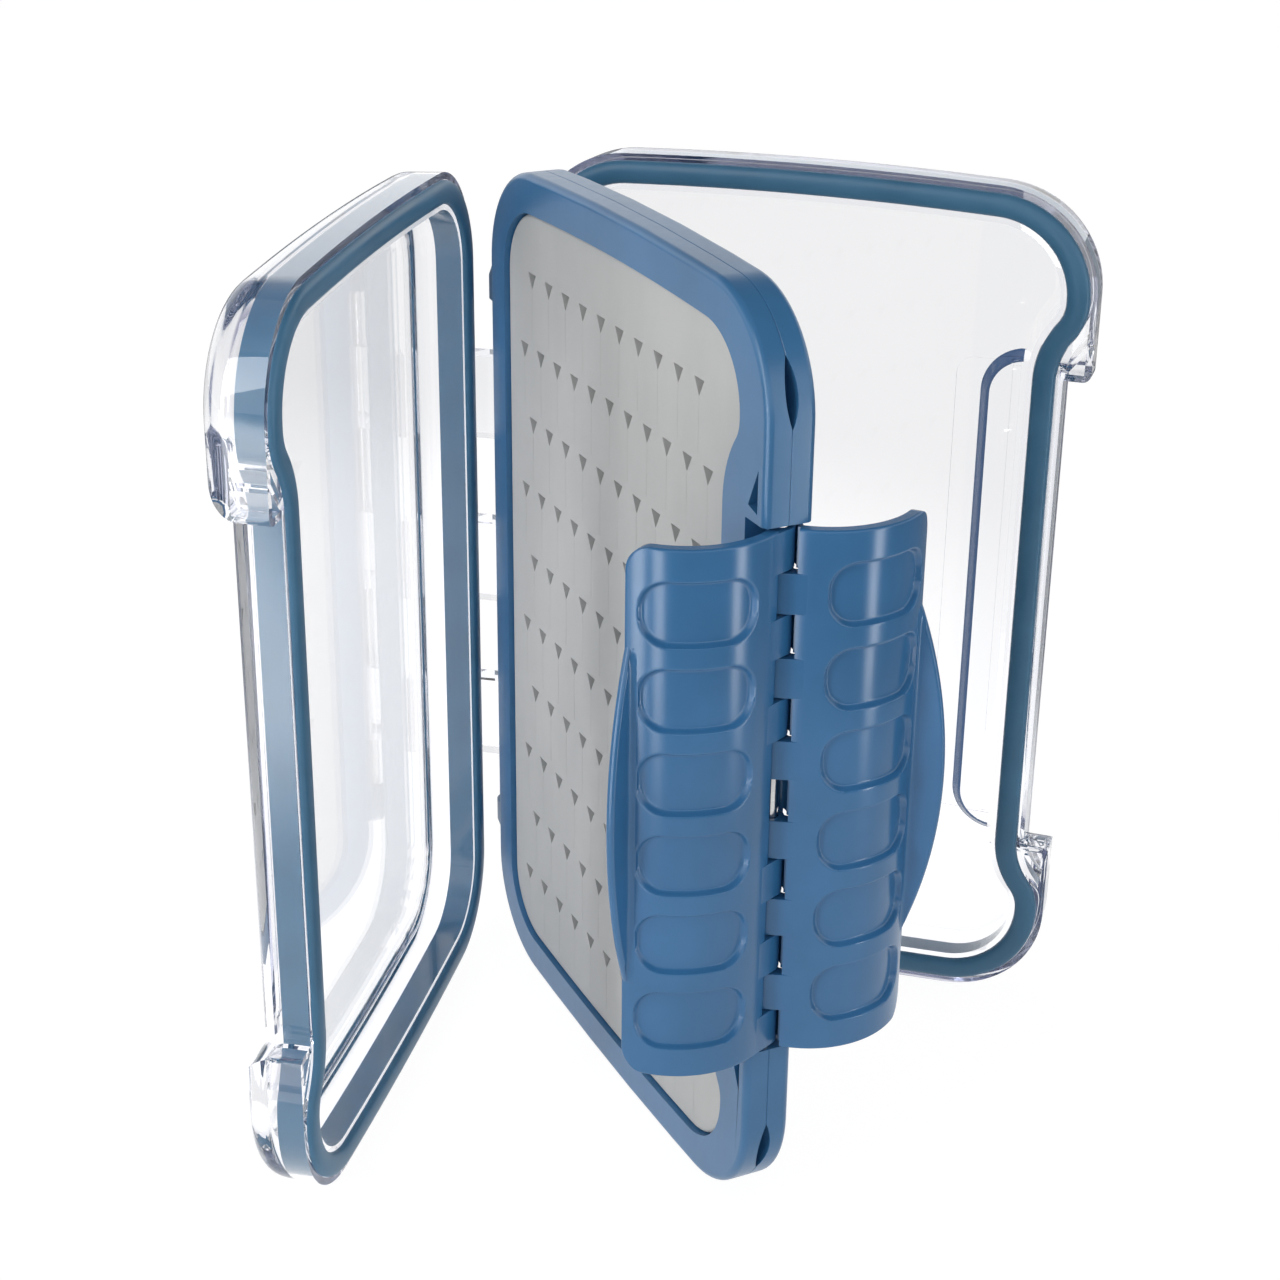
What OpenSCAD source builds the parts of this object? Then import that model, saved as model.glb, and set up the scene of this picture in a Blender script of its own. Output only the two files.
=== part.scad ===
// Double sided fly box: a middle leaf with a slotted pad on each face, a clear gasketed lid over
// each face and one long snap latch for each lid. It stands on its short end, opened as for use.
// Millimetres, +Z up. Origin at the middle of the leaf's lower end, Y across the leaf's thickness.

/* [Leaf] */
// Width of the leaf, from its hinge edge to its latch edge
leaf_w = 101.5; // [96:0.5:108]
// Height of the leaf, end to end
leaf_h = 153; // [145:0.5:162]
// Thickness of the leaf, both halves together
leaf_t = 8; // [7:0.2:10]
// Radius of the leaf's corners
corner_r = 18; // [15:0.5:20]
// Radius of the slight arch of both ends
end_arch_r = 650; // [400:10:1200]
// Rounding of the leaf's outer edges
leaf_edge_r = 1.2; // [0.6:0.1:1.8]
// How far the leaf steps back between its latch blocks
leaf_step = 5.7; // [5:0.1:6.2]
// Depth of the three cornered pockets beside that step
corner_pocket_d = 2.6; // [1.6:0.1:3]
// Length of those pockets along the leaf's edge
corner_pocket_l = 6.6; // [4:0.1:8]
// Wall between those pockets and the leaf's edge
corner_pocket_wall = 2.2; // [1.5:0.1:3]
// Length of a cord slot in the leaf's latch edge
cord_slot_l = 14; // [8:0.5:18]
// Width of a cord slot
cord_slot_w = 2.2; // [1.6:0.1:3]
// Depth of a cord slot
cord_slot_d = 5; // [3:0.5:6]
// Distance from a leaf's end to the middle of its cord slot
cord_slot_end = 15.5; // [14:0.5:20]

/* [Pads] */
// Thickness of each soft pad
pad_t = 2.4; // [1.8:0.1:2.6]
// How far a pad lies below the leaf's sealing land
pad_sunk = 0.8; // [0.4:0.1:1]
// Gap all round a pad in its pocket
pad_gap = 0.2; // [0.1:0.05:0.4]
// Distance between two fly slots in a row
slot_pitch = 6.9; // [6.5:0.1:7.5]
// Distance between two rows of fly slots
row_pitch = 12.7; // [12:0.1:13]
// Number of rows of fly slots
slot_rows = 10; // [8:1:10]
// Slots in the longer rows
slots_long = 11; // [9:1:11]
// Width of the triangular mouth of a fly slot
slot_w = 3.2; // [2.4:0.1:3.6]
// Height of the triangular mouth of a fly slot
slot_h = 2.7; // [2:0.1:3.2]
// Pad left under a fly slot's mouth
slot_floor = 0.6; // [0.4:0.1:1]
// Shift of the rows of slots away from the hinge edge and up the leaf
slot_shift = 0.4; // [0:0.1:0.8]

/* [Lids] */
// Depth of a lid, rim to outer face
lid_depth = 10.4; // [9.6:0.1:12]
// How far a lid stops short of the leaf's hinge edge and ends
lid_inset = 0.3; // [0.2:0.1:0.6]
// How far a lid stops short of the leaf's latch edge
lid_short = 2; // [1.8:0.1:2.4]
// Space between a lid's rim and the leaf when it is shut, taken up by the gasket
rim_gap = 1.3; // [1.2:0.05:1.6]
// Wall of a lid outside its gasket
rim_wall = 1.2; // [1:0.1:1.4]
// Wall of a lid inside its gasket
inner_wall = 1; // [0.8:0.1:1.2]
// Thickness of a lid's outer panel
panel_t = 1.8; // [1.4:0.1:2.2]
// Rounding of a lid's outer edges
lid_edge_r = 4.5; // [3:0.1:5]
// Inward lean of a lid's walls over their depth
lid_draft = 0.3; // [0.1:0.05:0.5]
// Inward shift of the seal between the latch blocks
waist_shift = 4.6; // [4:0.1:5]
// Radius of the two bends by which the seal shifts
waist_bend_r = 11; // [10:0.5:13]
// Straight stretch between a lid's corner and its first bend
block_flat = 0.5; // [0.4:0.1:2]
// Radius by which a latch block's outer face rolls down into the latch zone
block_roll = 7.3; // [5:0.1:8]
// Rounding of a latch block's upright edge
block_edge_r = 1.5; // [0.8:0.1:2.5]
// Depth of the three cornered pocket in a latch block
block_pocket_d = 6; // [4:0.5:7]
// Web across that pocket
block_web = 0.8; // [0.6:0.1:1.2]
// Distance from the seat of a latch to the far side of the land behind it
seat_rim = 5.2; // [4:0.1:7]
// How far that land reaches past the latch zone at each end
land_rim = 2.6; // [1:0.1:4]
// Radius of the land's corners
land_r = 8; // [5:0.5:10]
// Rounding inside a lid, between its walls and its outer panel
fillet_r = 2.6; // [1.5:0.1:3]

/* [Gaskets] */
// Width of the gasket groove
groove_w = 4; // [3.4:0.1:4.2]
// Depth of the gasket groove
groove_d = 4.7; // [3.8:0.1:4.8]
// Gap between a gasket and its groove
gasket_gap = 0.1; // [0.05:0.05:0.2]
// Gap between a shut gasket and the leaf
seal_gap = 0.15; // [0.1:0.05:0.3]

/* [Lid hinge] */
// Distance of the hinge pin's axis from the leaf's edge
hinge_off = 2.6; // [2.6:0.1:3]
// Radius of the hinge pin
hinge_pin_r = 1.1; // [0.9:0.05:1.2]
// Radius of the lid knuckles
knuckle_r = 2.3; // [2.1:0.05:2.3]
// Radius of the leaf's hinge lugs
lug_r = 2.9; // [2.5:0.1:3.2]
// Length of a hinge lug
lug_l = 8; // [6:0.5:10]
// Length of the row of lid knuckles
knuckle_row = 97.6; // [90:0.2:104]
// Length of one full knuckle
knuckle_l = 15.2; // [14:0.1:15.4]
// Distance between the middles of two neighbouring knuckles
knuckle_pitch = 15.75; // [15:0.05:16]
// Height of a knuckle arm's root on the lid's wall
arm_root = 5.6; // [4.5:0.1:6.5]
// Gap between two knuckles, and between a knuckle and a lug
knuckle_gap = 0.3; // [0.2:0.05:0.5]
// How far the hinge pin reaches into the leaf past a lug's face
hinge_pin_in = 6; // [4:0.5:8]
// Space left past the end of a pin in its bore
pin_end_gap = 0.5; // [0.3:0.1:1]
// Radial play of a knuckle on its pin
pin_play = 0.06; // [0.03:0.01:0.1]

/* [Latches] */
// Gap between a latch's end and a latch block
latch_end_gap = 0.5; // [0.3:0.1:1]
// Distance of the latch pin's axis from the leaf's latch edge
latch_off = 2.4; // [2.3:0.1:2.8]
// Radius of the latch pin
latch_pin_r = 1.1; // [0.9:0.05:1.2]
// How far the latch pin reaches into the leaf past the latches
latch_pin_in = 6; // [4:0.5:8]
// Radius of the latch knuckles
latch_knuckle_r = 2.1; // [2:0.05:2.2]
// Gap between two latch knuckles
latch_knuckle_gap = 0.3; // [0.2:0.05:0.5]
// Outer radius of the latch plate's curve
latch_r = 15.5; // [15.2:0.1:15.8]
// How far the latch plate runs on flat past its curve
latch_flat = 0.9; // [0.5:0.1:1.5]
// Thickness of the latch plate
latch_t = 2; // [1.6:0.1:2.2]
// How far inside the latch plate's outer curve the latch pin's axis lies
latch_pin_inside = 1.07; // [0.9:0.01:1.3]
// Radius of the round corners at the latch plate's free edge
free_r = 4; // [2:0.5:6]
// Gap between a shut latch and its lid
latch_gap = 0.3; // [0.2:0.05:0.5]
// Number of knuckle places along the latch pin
latch_places = 13; // [13]
// Radius around the latch pin that a latch plate leaves free for the other's knuckles
root_r = 3.2; // [3:0.1:3.6]
// Finger recesses in a latch
recess_count = 6; // [5:1:7]
// Depth of a finger recess
recess_d = 0.55; // [0.3:0.05:0.7]
// Width of a finger recess, along the latch plate's curve
recess_w = 18.5; // [16:0.1:19]
// Rib left between two finger recesses
recess_rib = 2.95; // [2:0.05:4]
// Radius of a finger recess's corners
recess_r = 4.6; // [3:0.1:4.8]
// Direction of the recesses' middle from the centre of the latch's curve
recess_direction = 52; // [48:1:56]
// Distance from a latch's end to its first finger recess, without half a rib
recess_end = 3.25; // [2:0.05:5]
// How far the thumb lip stands out
lip_h = 5; // [3:0.1:6]
// Thickness of the thumb lip
lip_t = 1.3; // [1:0.1:1.8]
// Distance from a latch's end to its thumb lip
lip_end = 15.5; // [12:0.5:20]

/* [Pose] */
// Angle by which the front lid stands open
front_lid_open = 38; // [0:1:90]
// Angle by which the back lid stands open
back_lid_open = 45.5; // [0:0.5:90]
// Angle by which the front latch stands open
front_latch_open = 35; // [0:1:60]
// Angle by which the back latch stands open
back_latch_open = 44; // [0:1:60]

/* [Hidden] */
$fn = 48;
eps = 0.02;
far = 400;

blue = [0.25, 0.45, 0.62];
gasket_blue = [0.22, 0.38, 0.5];
pad_grey = [0.72, 0.73, 0.74];
clear = [0.85, 0.88, 0.95, 0.4];
steel = [0.75, 0.76, 0.78];

half_t = leaf_t / 2;
mid_z = leaf_h / 2;

// Lid outline, in leaf coordinates with X from the hinge edge
lid_x0 = lid_inset;
lid_x1 = leaf_w - lid_short;
lid_y = half_t + rim_gap;
lid_top = lid_y + lid_depth;
seal_in = rim_wall + groove_w + inner_wall;

// The two bends of the seal at each end of the latch zone
bend_a = acos(1 - waist_shift / (2 * waist_bend_r));
bend_l = 2 * waist_bend_r * sin(bend_a);

// Latch zone: a block takes up a lid's corner and its bends, and the latch has what is left
corner_lean = asin(((lid_x1 - lid_x0) / 2 - corner_r) / (end_arch_r - corner_r));
corner_rise = end_arch_r * cos(corner_lean * 0.2) - (end_arch_r - corner_r) * cos(corner_lean);
block_z0 = lid_inset + corner_rise + block_flat + bend_l;
block_z1 = leaf_h - block_z0;
latch_z0 = block_z0 + latch_end_gap;
latch_l = leaf_h - 2 * latch_z0;
latch_z1 = latch_z0 + latch_l;
latch_x = leaf_w - latch_off;
leaf_step_x = leaf_w - leaf_step;
place_l = latch_l / latch_places;

hinge_x = -hinge_off;

// Points along an arc, as [x, z] pairs
function arc(cx, cz, r, a0, a1, n) =
    [for (i = [0:n]) let (a = a0 + (a1 - a0) * i / n) [cx + r * cos(a), cz + r * sin(a)]];

// A rounded outline with slightly arched ends, drawn anticlockwise and shrunk by d all round
function slab(x0, x1, z0, z1, d) =
    let (
        cx = (x0 + x1) / 2,
        a = (x1 - x0) / 2 - corner_r,
        lean = asin(a / (end_arch_r - corner_r)),
        foot = end_arch_r * cos(lean * 0.2),
        rise = foot - sqrt(pow(end_arch_r - corner_r, 2) - a * a),
        r = corner_r - d,
        big = end_arch_r - d)
    concat(
        arc(cx + a, z0 + rise, r, -90 + lean, 0, 9),
        arc(cx + a, z1 - rise, r, 0, 90 - lean, 9),
        arc(cx, z1 - foot, big, 90 - lean * 0.6, 90 + lean * 0.6, 3),
        arc(cx - a, z1 - rise, r, 90 + lean, 180, 9),
        arc(cx - a, z0 + rise, r, 180, 270 - lean, 9),
        arc(cx, z0 + foot, big, 270 - lean * 0.6, 270 + lean * 0.6, 3));

// The lid's outline, drawn in between the latch blocks by two smooth bends
function seal(d) =
    let (
        s = slab(lid_x0, lid_x1, lid_inset, leaf_h - lid_inset, d),
        out_x = lid_x1 - waist_bend_r,
        in_x = lid_x1 - waist_shift + waist_bend_r,
        low = block_z0 - bend_l,
        high = block_z1 + bend_l)
    concat(
        [for (i = [0:9]) s[i]],
        arc(out_x, low, waist_bend_r - d, 0, bend_a, 5),
        arc(in_x, block_z0, waist_bend_r + d, 180 + bend_a, 180, 5),
        arc(in_x, block_z1, waist_bend_r + d, 180, 180 - bend_a, 5),
        arc(out_x, high, waist_bend_r - d, -bend_a, 0, 5),
        [for (i = [10:len(s) - 1]) s[i]]);

// Lays a drawing in the XZ plane and gives it depth from y0 towards +Y
module slice(y0, depth) {
    translate([0, y0 + depth, 0])
        rotate([90, 0, 0])
            linear_extrude(depth) children();
}

// A solid through a stack of outlines, each with as many points, from the lowest Y to the highest
module loft(rings, ys) {
    n = len(rings[0]);
    m = len(rings);
    pts = [for (k = [0:m - 1]) for (p = rings[k]) [p[0], ys[k], p[1]]];
    sides = [for (k = [0:m - 2]) for (i = [0:n - 1])
        let (j = (i + 1) % n, a = k * n, b = (k + 1) * n)
        each [[a + i, b + j, b + i], [a + i, a + j, b + j]]];
    first = [for (i = [n - 1:-1:0]) i];
    last = [for (i = [0:n - 1]) (m - 1) * n + i];
    polyhedron(pts, concat([first, last], sides), convexity = 6);
}

// A closed ring with the section [inset, y] points, swept along the seal's line
module seal_ring(section) {
    m = len(section);
    rings = [for (q = section) seal(q[0])];
    n = len(rings[0]);
    pts = [for (k = [0:m - 1]) for (p = rings[k]) [p[0], section[k][1], p[1]]];
    faces = [for (k = [0:m - 1]) for (i = [0:n - 1])
        let (j = (i + 1) % n, a = k * n, b = ((k + 1) % m) * n)
        each [[a + i, b + j, b + i], [a + i, a + j, b + j]]];
    polyhedron(pts, faces, convexity = 8);
}

// Everything below is drawn with X from the hinge edge, then centred on the leaf
module centred() {
    translate([-leaf_w / 2, 0, 0]) children();
}

// Turns a shut lid or latch about a pin; side is -1 for the front and 1 for the back
module swing(x, side, angle) {
    translate([x, 0, 0])
        rotate([0, 0, side * angle])
            translate([-x, 0, 0]) children();
}

module to_side(side) {
    if (side > 0) children();
    else mirror([0, 1, 0]) children();
}

// The leaf's half on the +Y side, with its outer edge rounded
module half_leaf_block() {
    steps = 3;
    ys = concat([0], [for (i = [0:steps]) half_t - leaf_edge_r + leaf_edge_r * sin(90 * i / steps)]);
    ds = concat([0], [for (i = [0:steps]) leaf_edge_r * (1 - cos(90 * i / steps))]);
    loft([for (d = ds) slab(0, leaf_w, 0, leaf_h, d)], ys);
}

// Half of a hinge lug, with its outer end ramped down to the leaf
module half_lug(z, up) {
    ramp = 3.5;
    intersection() {
        translate([hinge_x, 0, z]) mirror([0, 0, up ? 0 : 1]) {
            cylinder(r = lug_r, h = lug_l - ramp);
            translate([0, 0, lug_l - ramp]) cylinder(r1 = lug_r, r2 = lug_r - 1.6, h = ramp);
            translate([0, -lug_r, 0]) cube([hinge_off + 2, 2 * lug_r, lug_l]);
        }
        translate([hinge_x - far / 2, 0, 0]) cube([far, far, leaf_h]);
    }
}

lug_z0 = mid_z - knuckle_row / 2 - knuckle_gap;
lug_z1 = mid_z + knuckle_row / 2 + knuckle_gap;

module half_frame() {
    pocket_y = half_t - pad_sunk - pad_t;
    step_wall = 1.4;
    difference() {
        union() {
            half_leaf_block();
            half_lug(lug_z1, true);
            half_lug(lug_z0, false);
        }
        // pocket for the pad
        slice(pocket_y, half_t) polygon(seal(seal_in));
        // step back between the latch blocks
        translate([leaf_step_x, -eps, block_z0]) cube([far, leaf_t, block_z1 - block_z0]);
        // three cornered pockets beside the latch blocks
        for (m = [0, 1])
            translate([0, 0, m * leaf_h]) mirror([0, 0, m])
                slice(half_t - corner_pocket_d, leaf_t)
                    polygon([
                        [leaf_w - corner_pocket_wall, block_z0 - step_wall - corner_pocket_l],
                        [leaf_w - corner_pocket_wall, block_z0 - step_wall],
                        [leaf_step_x + step_wall / 2, block_z0 - step_wall * 1.5]]);
        // cord slots that open on the seam
        for (m = [0, 1])
            translate([0, 0, m * leaf_h]) mirror([0, 0, m]) cord_slot();
        translate([hinge_x, 0, lug_z0 - hinge_pin_in]) cylinder(r = hinge_pin_r + pin_play, h = far);
        translate([latch_x, 0, latch_z0 - latch_pin_in])
            cylinder(r = latch_pin_r + pin_play, h = latch_l + 2 * latch_pin_in);
    }
}

// Almond shaped slot for a cord, cut into the latch edge on the seam
module cord_slot() {
    slot_half = cord_slot_w / 2;
    bow = (cord_slot_l * cord_slot_l / 4 + slot_half * slot_half) / (2 * slot_half);
    translate([leaf_w - cord_slot_d, 0, cord_slot_end]) rotate([0, 90, 0])
        linear_extrude(far)
            intersection() {
                translate([0, slot_half - bow]) circle(r = bow, $fn = 240);
                translate([0, bow - slot_half]) circle(r = bow, $fn = 240);
            }
}

module half_pad() {
    y0 = half_t - pad_sunk - pad_t;
    first_z = mid_z + (slot_rows - 1) / 2 * row_pitch + slot_shift;
    mid_x = (lid_x0 + lid_x1 - waist_shift) / 2 + slot_shift;
    difference() {
        slice(y0, pad_t) polygon(seal(seal_in + pad_gap));
        for (r = [0:slot_rows - 1])
            let (n = slots_long - 1 + r % 2)
                for (i = [0:n - 1])
                    translate([mid_x + (i - (n - 1) / 2) * slot_pitch, 0, first_z - r * row_pitch])
                        slice(y0 + slot_floor, pad_t)
                            polygon([
                                [-slot_w / 2, slot_h / 2],
                                [0, -slot_h / 2],
                                [slot_w / 2, slot_h / 2]]);
    }
}

module rod(x, r, z0, z1) {
    translate([x, 0, z0]) cylinder(r = r, h = z1 - z0);
}

// Curve on which a shut latch lies on its lid: it leaves the lid's outer face as a tangent
seat_r = latch_r - latch_t - latch_gap;
seat_y = lid_top - seat_r;
latch_reach = latch_r - latch_pin_inside;
latch_cy = seat_y;
latch_cx = sqrt(latch_reach * latch_reach - latch_cy * latch_cy);
seat_x = latch_x - latch_cx;

module lid_outer() {
    steps = 5;
    ys = concat([lid_y], [for (i = [0:steps]) lid_top - lid_edge_r + lid_edge_r * sin(90 * i / steps)]);
    ds = concat([0], [for (i = [0:steps]) lid_draft + lid_edge_r * (1 - cos(90 * i / steps))]);
    loft([for (d = ds) slab(lid_x0, lid_x1, lid_inset, leaf_h - lid_inset, d)], ys);
}

// Rounded corner between a lid's walls and its outer panel, inside
module lid_fillet() {
    top = lid_top - panel_t;
    root = 0.3;
    seal_ring([
        [seal_in - root, top + root], [seal_in + fillet_r, top + root], [seal_in + fillet_r, top],
        [seal_in + fillet_r * 0.45, top - fillet_r * 0.15],
        [seal_in + fillet_r * 0.15, top - fillet_r * 0.45],
        [seal_in, top - fillet_r], [seal_in - root, top - fillet_r]]);
}

// D shaped land inside a lid, which backs the seat of the latch
module seat_land() {
    x0 = seat_x - seat_rim;
    x1 = lid_x1 - waist_shift - seal_in + fillet_r;
    z0 = block_z0 - land_rim;
    z1 = block_z1 + land_rim;
    slice(lid_top - 2 * panel_t, 2 * panel_t - 0.8)
        polygon(concat(
            [[x1, z0], [x1, z1]],
            arc(x0 + land_r, z1 - land_r, land_r, 90, 180, 6),
            arc(x0 + land_r, z0 + land_r, land_r, 180, 270, 6)));
}

// Section of the space that a latch needs at the lid's edge, in X and Y
module latch_space_2d() {
    difference() {
        translate([seat_x + 0.2, 0]) square([far, far]);
        translate([seat_x, seat_y]) circle(r = seat_r, $fn = 96);
    }
    translate([lid_x1 - waist_shift, 0]) square([far, far]);
}

block_end_z = block_z0 - latch_gap;

// Does the same at the lower and the upper latch block
module both_ends() {
    children();
    translate([0, 0, leaf_h]) mirror([0, 0, 1]) children();
}

// The space that a latch needs at a lid's edge, out to where the blocks' outer faces roll down
module latch_space() {
    roll_y = lid_top - block_roll;
    z0 = block_end_z - block_roll;
    difference() {
        translate([0, 0, z0]) linear_extrude(leaf_h - 2 * z0) latch_space_2d();
        both_ends() rotate([90, 0, 90]) linear_extrude(far)
            polygon(concat(
                [[-1, block_end_z], [-1, z0 - 1], [lid_top, z0 - 1]],
                arc(roll_y, z0, block_roll, 0, 90, 10)));
    }
    // rounded upright edge of each block
    edge_x = lid_x1 - block_edge_r;
    both_ends() slice(-1, lid_top + 2)
        polygon(concat(
            [[lid_x1 + 1, block_end_z + 1], [edge_x, block_end_z + 1]],
            arc(edge_x, block_end_z - block_edge_r, block_edge_r, 90, 0, 5),
            [[lid_x1 + 1, block_end_z - block_edge_r]]));
}

// Three cornered pocket in the rim side of each latch block, crossed by a thin web
module block_pockets() {
    end_z = block_end_z - rim_wall;
    web_lean = atan2(1.3, 1);
    slice(lid_y - 1, block_pocket_d + 1)
        difference() {
            polygon(slab(lid_x0, lid_x1, lid_inset, leaf_h - lid_inset, rim_wall));
            polygon(seal(0));
            translate([0, end_z]) square([far, leaf_h - 2 * end_z]);
            for (m = [0, 1])
                translate([0, m * leaf_h]) mirror([0, m])
                    translate([lid_x1 - waist_shift, end_z])
                        rotate(-web_lean)
                            translate([-1, -block_web / 2]) square([3 * waist_shift, block_web]);
        }
}

module knuckle_arm(z, l) {
    root_y = lid_y + arm_root;
    face = knuckle_r - 0.05;
    difference() {
        translate([0, 0, z])
            linear_extrude(l)
                union() {
                    translate([hinge_x, 0]) circle(r = knuckle_r);
                    polygon([
                        [hinge_x - face, 0],
                        [hinge_x + face, 0],
                        [hinge_x + face, lid_y - 0.2],
                        [lid_x0 + 1, lid_y + 0.2],
                        [lid_x0 + 1, root_y],
                        [lid_x0, root_y],
                        [hinge_x - face, lid_y + 0.4]]);
                }
        translate([hinge_x, 0, z - 1]) cylinder(r = hinge_pin_r + pin_play, h = l + 2);
    }
}

front_knuckles = [for (i = [-1:1]) [mid_z + i * 2 * knuckle_pitch - knuckle_l / 2, knuckle_l]];
between_l = 2 * knuckle_pitch - knuckle_l - 2 * knuckle_gap;
end_l = knuckle_row / 2 - 2 * knuckle_pitch - knuckle_l / 2 - knuckle_gap;
back_knuckles = concat(
    [for (i = [-1, 1]) [mid_z + i * knuckle_pitch - between_l / 2, between_l]],
    [[mid_z - knuckle_row / 2, end_l], [mid_z + knuckle_row / 2 - end_l, end_l]]);

module lid_body(knuckles) {
    difference() {
        union() {
            difference() {
                lid_outer();
                slice(lid_y - 1, lid_depth - panel_t + 1) polygon(seal(seal_in));
            }
            lid_fillet();
            seat_land();
        }
        latch_space();
        block_pockets();
        slice(lid_y - 1, groove_d + 1)
            difference() {
                polygon(seal(rim_wall));
                polygon(seal(rim_wall + groove_w));
            }
    }
    for (k = knuckles) knuckle_arm(k[0], k[1]);
}

module gasket_body() {
    a = rim_wall + gasket_gap;
    b = rim_wall + groove_w - gasket_gap;
    m = (a + b) / 2;
    top = half_t + seal_gap;
    base = lid_y + groove_d;
    seal_ring([
        [a, base], [b, base], [b, lid_y - 0.1], [b - 0.3, top + 0.45], [b - 0.9, top + 0.2],
        [m + 0.6, top + 0.25], [m + 0.3, top], [m - 0.3, top], [m - 0.6, top + 0.25],
        [a + 0.9, top + 0.2], [a + 0.3, top + 0.45], [a, lid_y - 0.1]]);
}

// Shut latch plate on the +Y side, about its own curve, clear of the pin
module latch_plate_2d() {
    difference() {
        circle(r = latch_r, $fn = 120);
        circle(r = latch_r - latch_t, $fn = 120);
        translate([-far, -far]) square([far, 2 * far]);
        translate([-1, -far]) square([far, far]);
        translate([latch_cx, -latch_cy]) circle(r = root_r);
    }
    translate([-latch_flat, latch_r - latch_t]) square([latch_flat + eps, latch_t]);
}

// Thumb lip: a thin bowed wall that stands out along the middle of the free edge
module thumb_lip() {
    lip_l = latch_l - 2 * lip_end;
    bow_r = (lip_l * lip_l / 4 + lip_h * lip_h) / (2 * lip_h);
    root = latch_t / 2;
    half_a = acos(1 - (lip_h + root) / bow_r);
    translate([-latch_flat, 0, 0])
        rotate([90, 0, 90])
            linear_extrude(lip_t)
                polygon(arc(latch_r + lip_h - bow_r, mid_z, bow_r, -half_a, half_a, 24));
}

module latch_body(places) {
    recess_pitch = (latch_l - 2 * recess_end) / recess_count;
    translate([seat_x, seat_y, 0]) difference() {
        union() {
            translate([0, 0, latch_z0]) linear_extrude(latch_l) latch_plate_2d();
            thumb_lip();
            knuckle_roots(places);
        }
        for (i = [0:recess_count - 1])
            intersection() {
                translate([0, 0, latch_z0]) tube(latch_r + 2, latch_r - recess_d, latch_l);
                recess_place(i, recess_pitch) linear_extrude(latch_r + 5)
                    rounded_2d(recess_pitch - recess_rib, recess_w, recess_r);
            }
        translate([latch_cx, -latch_cy, latch_z0 - 1])
            cylinder(r = latch_pin_r + pin_play, h = latch_l + 2);
        // rounded outer corners of the free edge
        for (m = [0, 1])
            translate([0, 0, m * 2 * mid_z]) mirror([0, 0, m])
                slice(0, far)
                    difference() {
                        translate([-latch_flat - eps, latch_z0 - eps]) square(free_r + eps);
                        translate([free_r - latch_flat, latch_z0 + free_r]) circle(r = free_r);
                    }
    }
}

module tube(r_out, r_in, l) {
    difference() {
        cylinder(r = r_out, h = l, $fn = 120);
        translate([0, 0, -1]) cylinder(r = r_in, h = l + 2, $fn = 120);
    }
}

// Places a drawing on the curve's middle, with its first axis along the latch
module recess_place(i, pitch) {
    z = mid_z + (i - (recess_count - 1) / 2) * pitch;
    translate([0, 0, z]) rotate([0, 90, recess_direction]) children();
}

module rounded_2d(a, b, r) {
    x = a / 2 - r;
    y = b / 2 - r;
    polygon(concat(
        arc(x, y, r, 0, 90, 5),
        arc(-x, y, r, 90, 180, 5),
        arc(-x, -y, r, 180, 270, 5),
        arc(x, -y, r, 270, 360, 5)));
}

// Knuckles on the latch pin, each with a root that leaves the plate's curve as a tangent
module knuckle_roots(places) {
    sunk = 0.12;
    root_out = latch_r - sunk;
    root_in = latch_r - latch_t + sunk;
    knuckle_len = place_l - latch_knuckle_gap;
    lean = acos((root_out - latch_knuckle_r) / latch_reach) - atan2(latch_cy, latch_cx);
    face = latch_knuckle_r - 0.05;
    for (i = places)
        translate([0, 0, latch_z0 + i * place_l + latch_knuckle_gap / 2]) {
            translate([latch_cx, -latch_cy]) cylinder(r = latch_knuckle_r, h = knuckle_len);
            linear_extrude(knuckle_len)
                polygon(concat(
                    [[latch_cx, -latch_cy],
                    [latch_cx + face * cos(lean), -latch_cy + face * sin(lean)]],
                    arc(0, 0, root_out, lean, lean + 3, 1),
                    arc(0, 0, root_in, lean + 3, -4, 5)));
        }
}

front_places = [0, 2, 4, 8, 10, 12];
back_places = [1, 3, 5, 7, 9, 11];

module front_frame() {
    color(blue) centred() to_side(-1) half_frame();
}

module back_frame() {
    color(blue) centred() to_side(1) half_frame();
}

module front_pad() {
    color(pad_grey) centred() to_side(-1) half_pad();
}

module back_pad() {
    color(pad_grey) centred() to_side(1) half_pad();
}

module hinge_pin() {
    color(steel) centred()
        rod(hinge_x, hinge_pin_r,
            lug_z0 - hinge_pin_in + pin_end_gap, lug_z1 + hinge_pin_in - pin_end_gap);
}

module latch_pin() {
    color(steel) centred()
        rod(latch_x, latch_pin_r,
            latch_z0 - latch_pin_in + pin_end_gap, latch_z1 + latch_pin_in - pin_end_gap);
}

module front_lid() {
    color(clear) centred() swing(hinge_x, -1, front_lid_open) to_side(-1) lid_body(front_knuckles);
}

module front_gasket() {
    color(gasket_blue) centred() swing(hinge_x, -1, front_lid_open) to_side(-1) gasket_body();
}

module back_lid() {
    color(clear) centred() swing(hinge_x, 1, back_lid_open) to_side(1) lid_body(back_knuckles);
}

module back_gasket() {
    color(gasket_blue) centred() swing(hinge_x, 1, back_lid_open) to_side(1) gasket_body();
}

module front_latch() {
    color(blue) centred() swing(latch_x, 1, front_latch_open) to_side(-1) latch_body(front_places);
}

module back_latch() {
    color(blue) centred() swing(latch_x, -1, back_latch_open) to_side(1) latch_body(back_places);
}

front_frame();
back_frame();
front_pad();
back_pad();
hinge_pin();
latch_pin();
front_lid();
front_gasket();
back_lid();
back_gasket();
front_latch();
back_latch();
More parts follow.
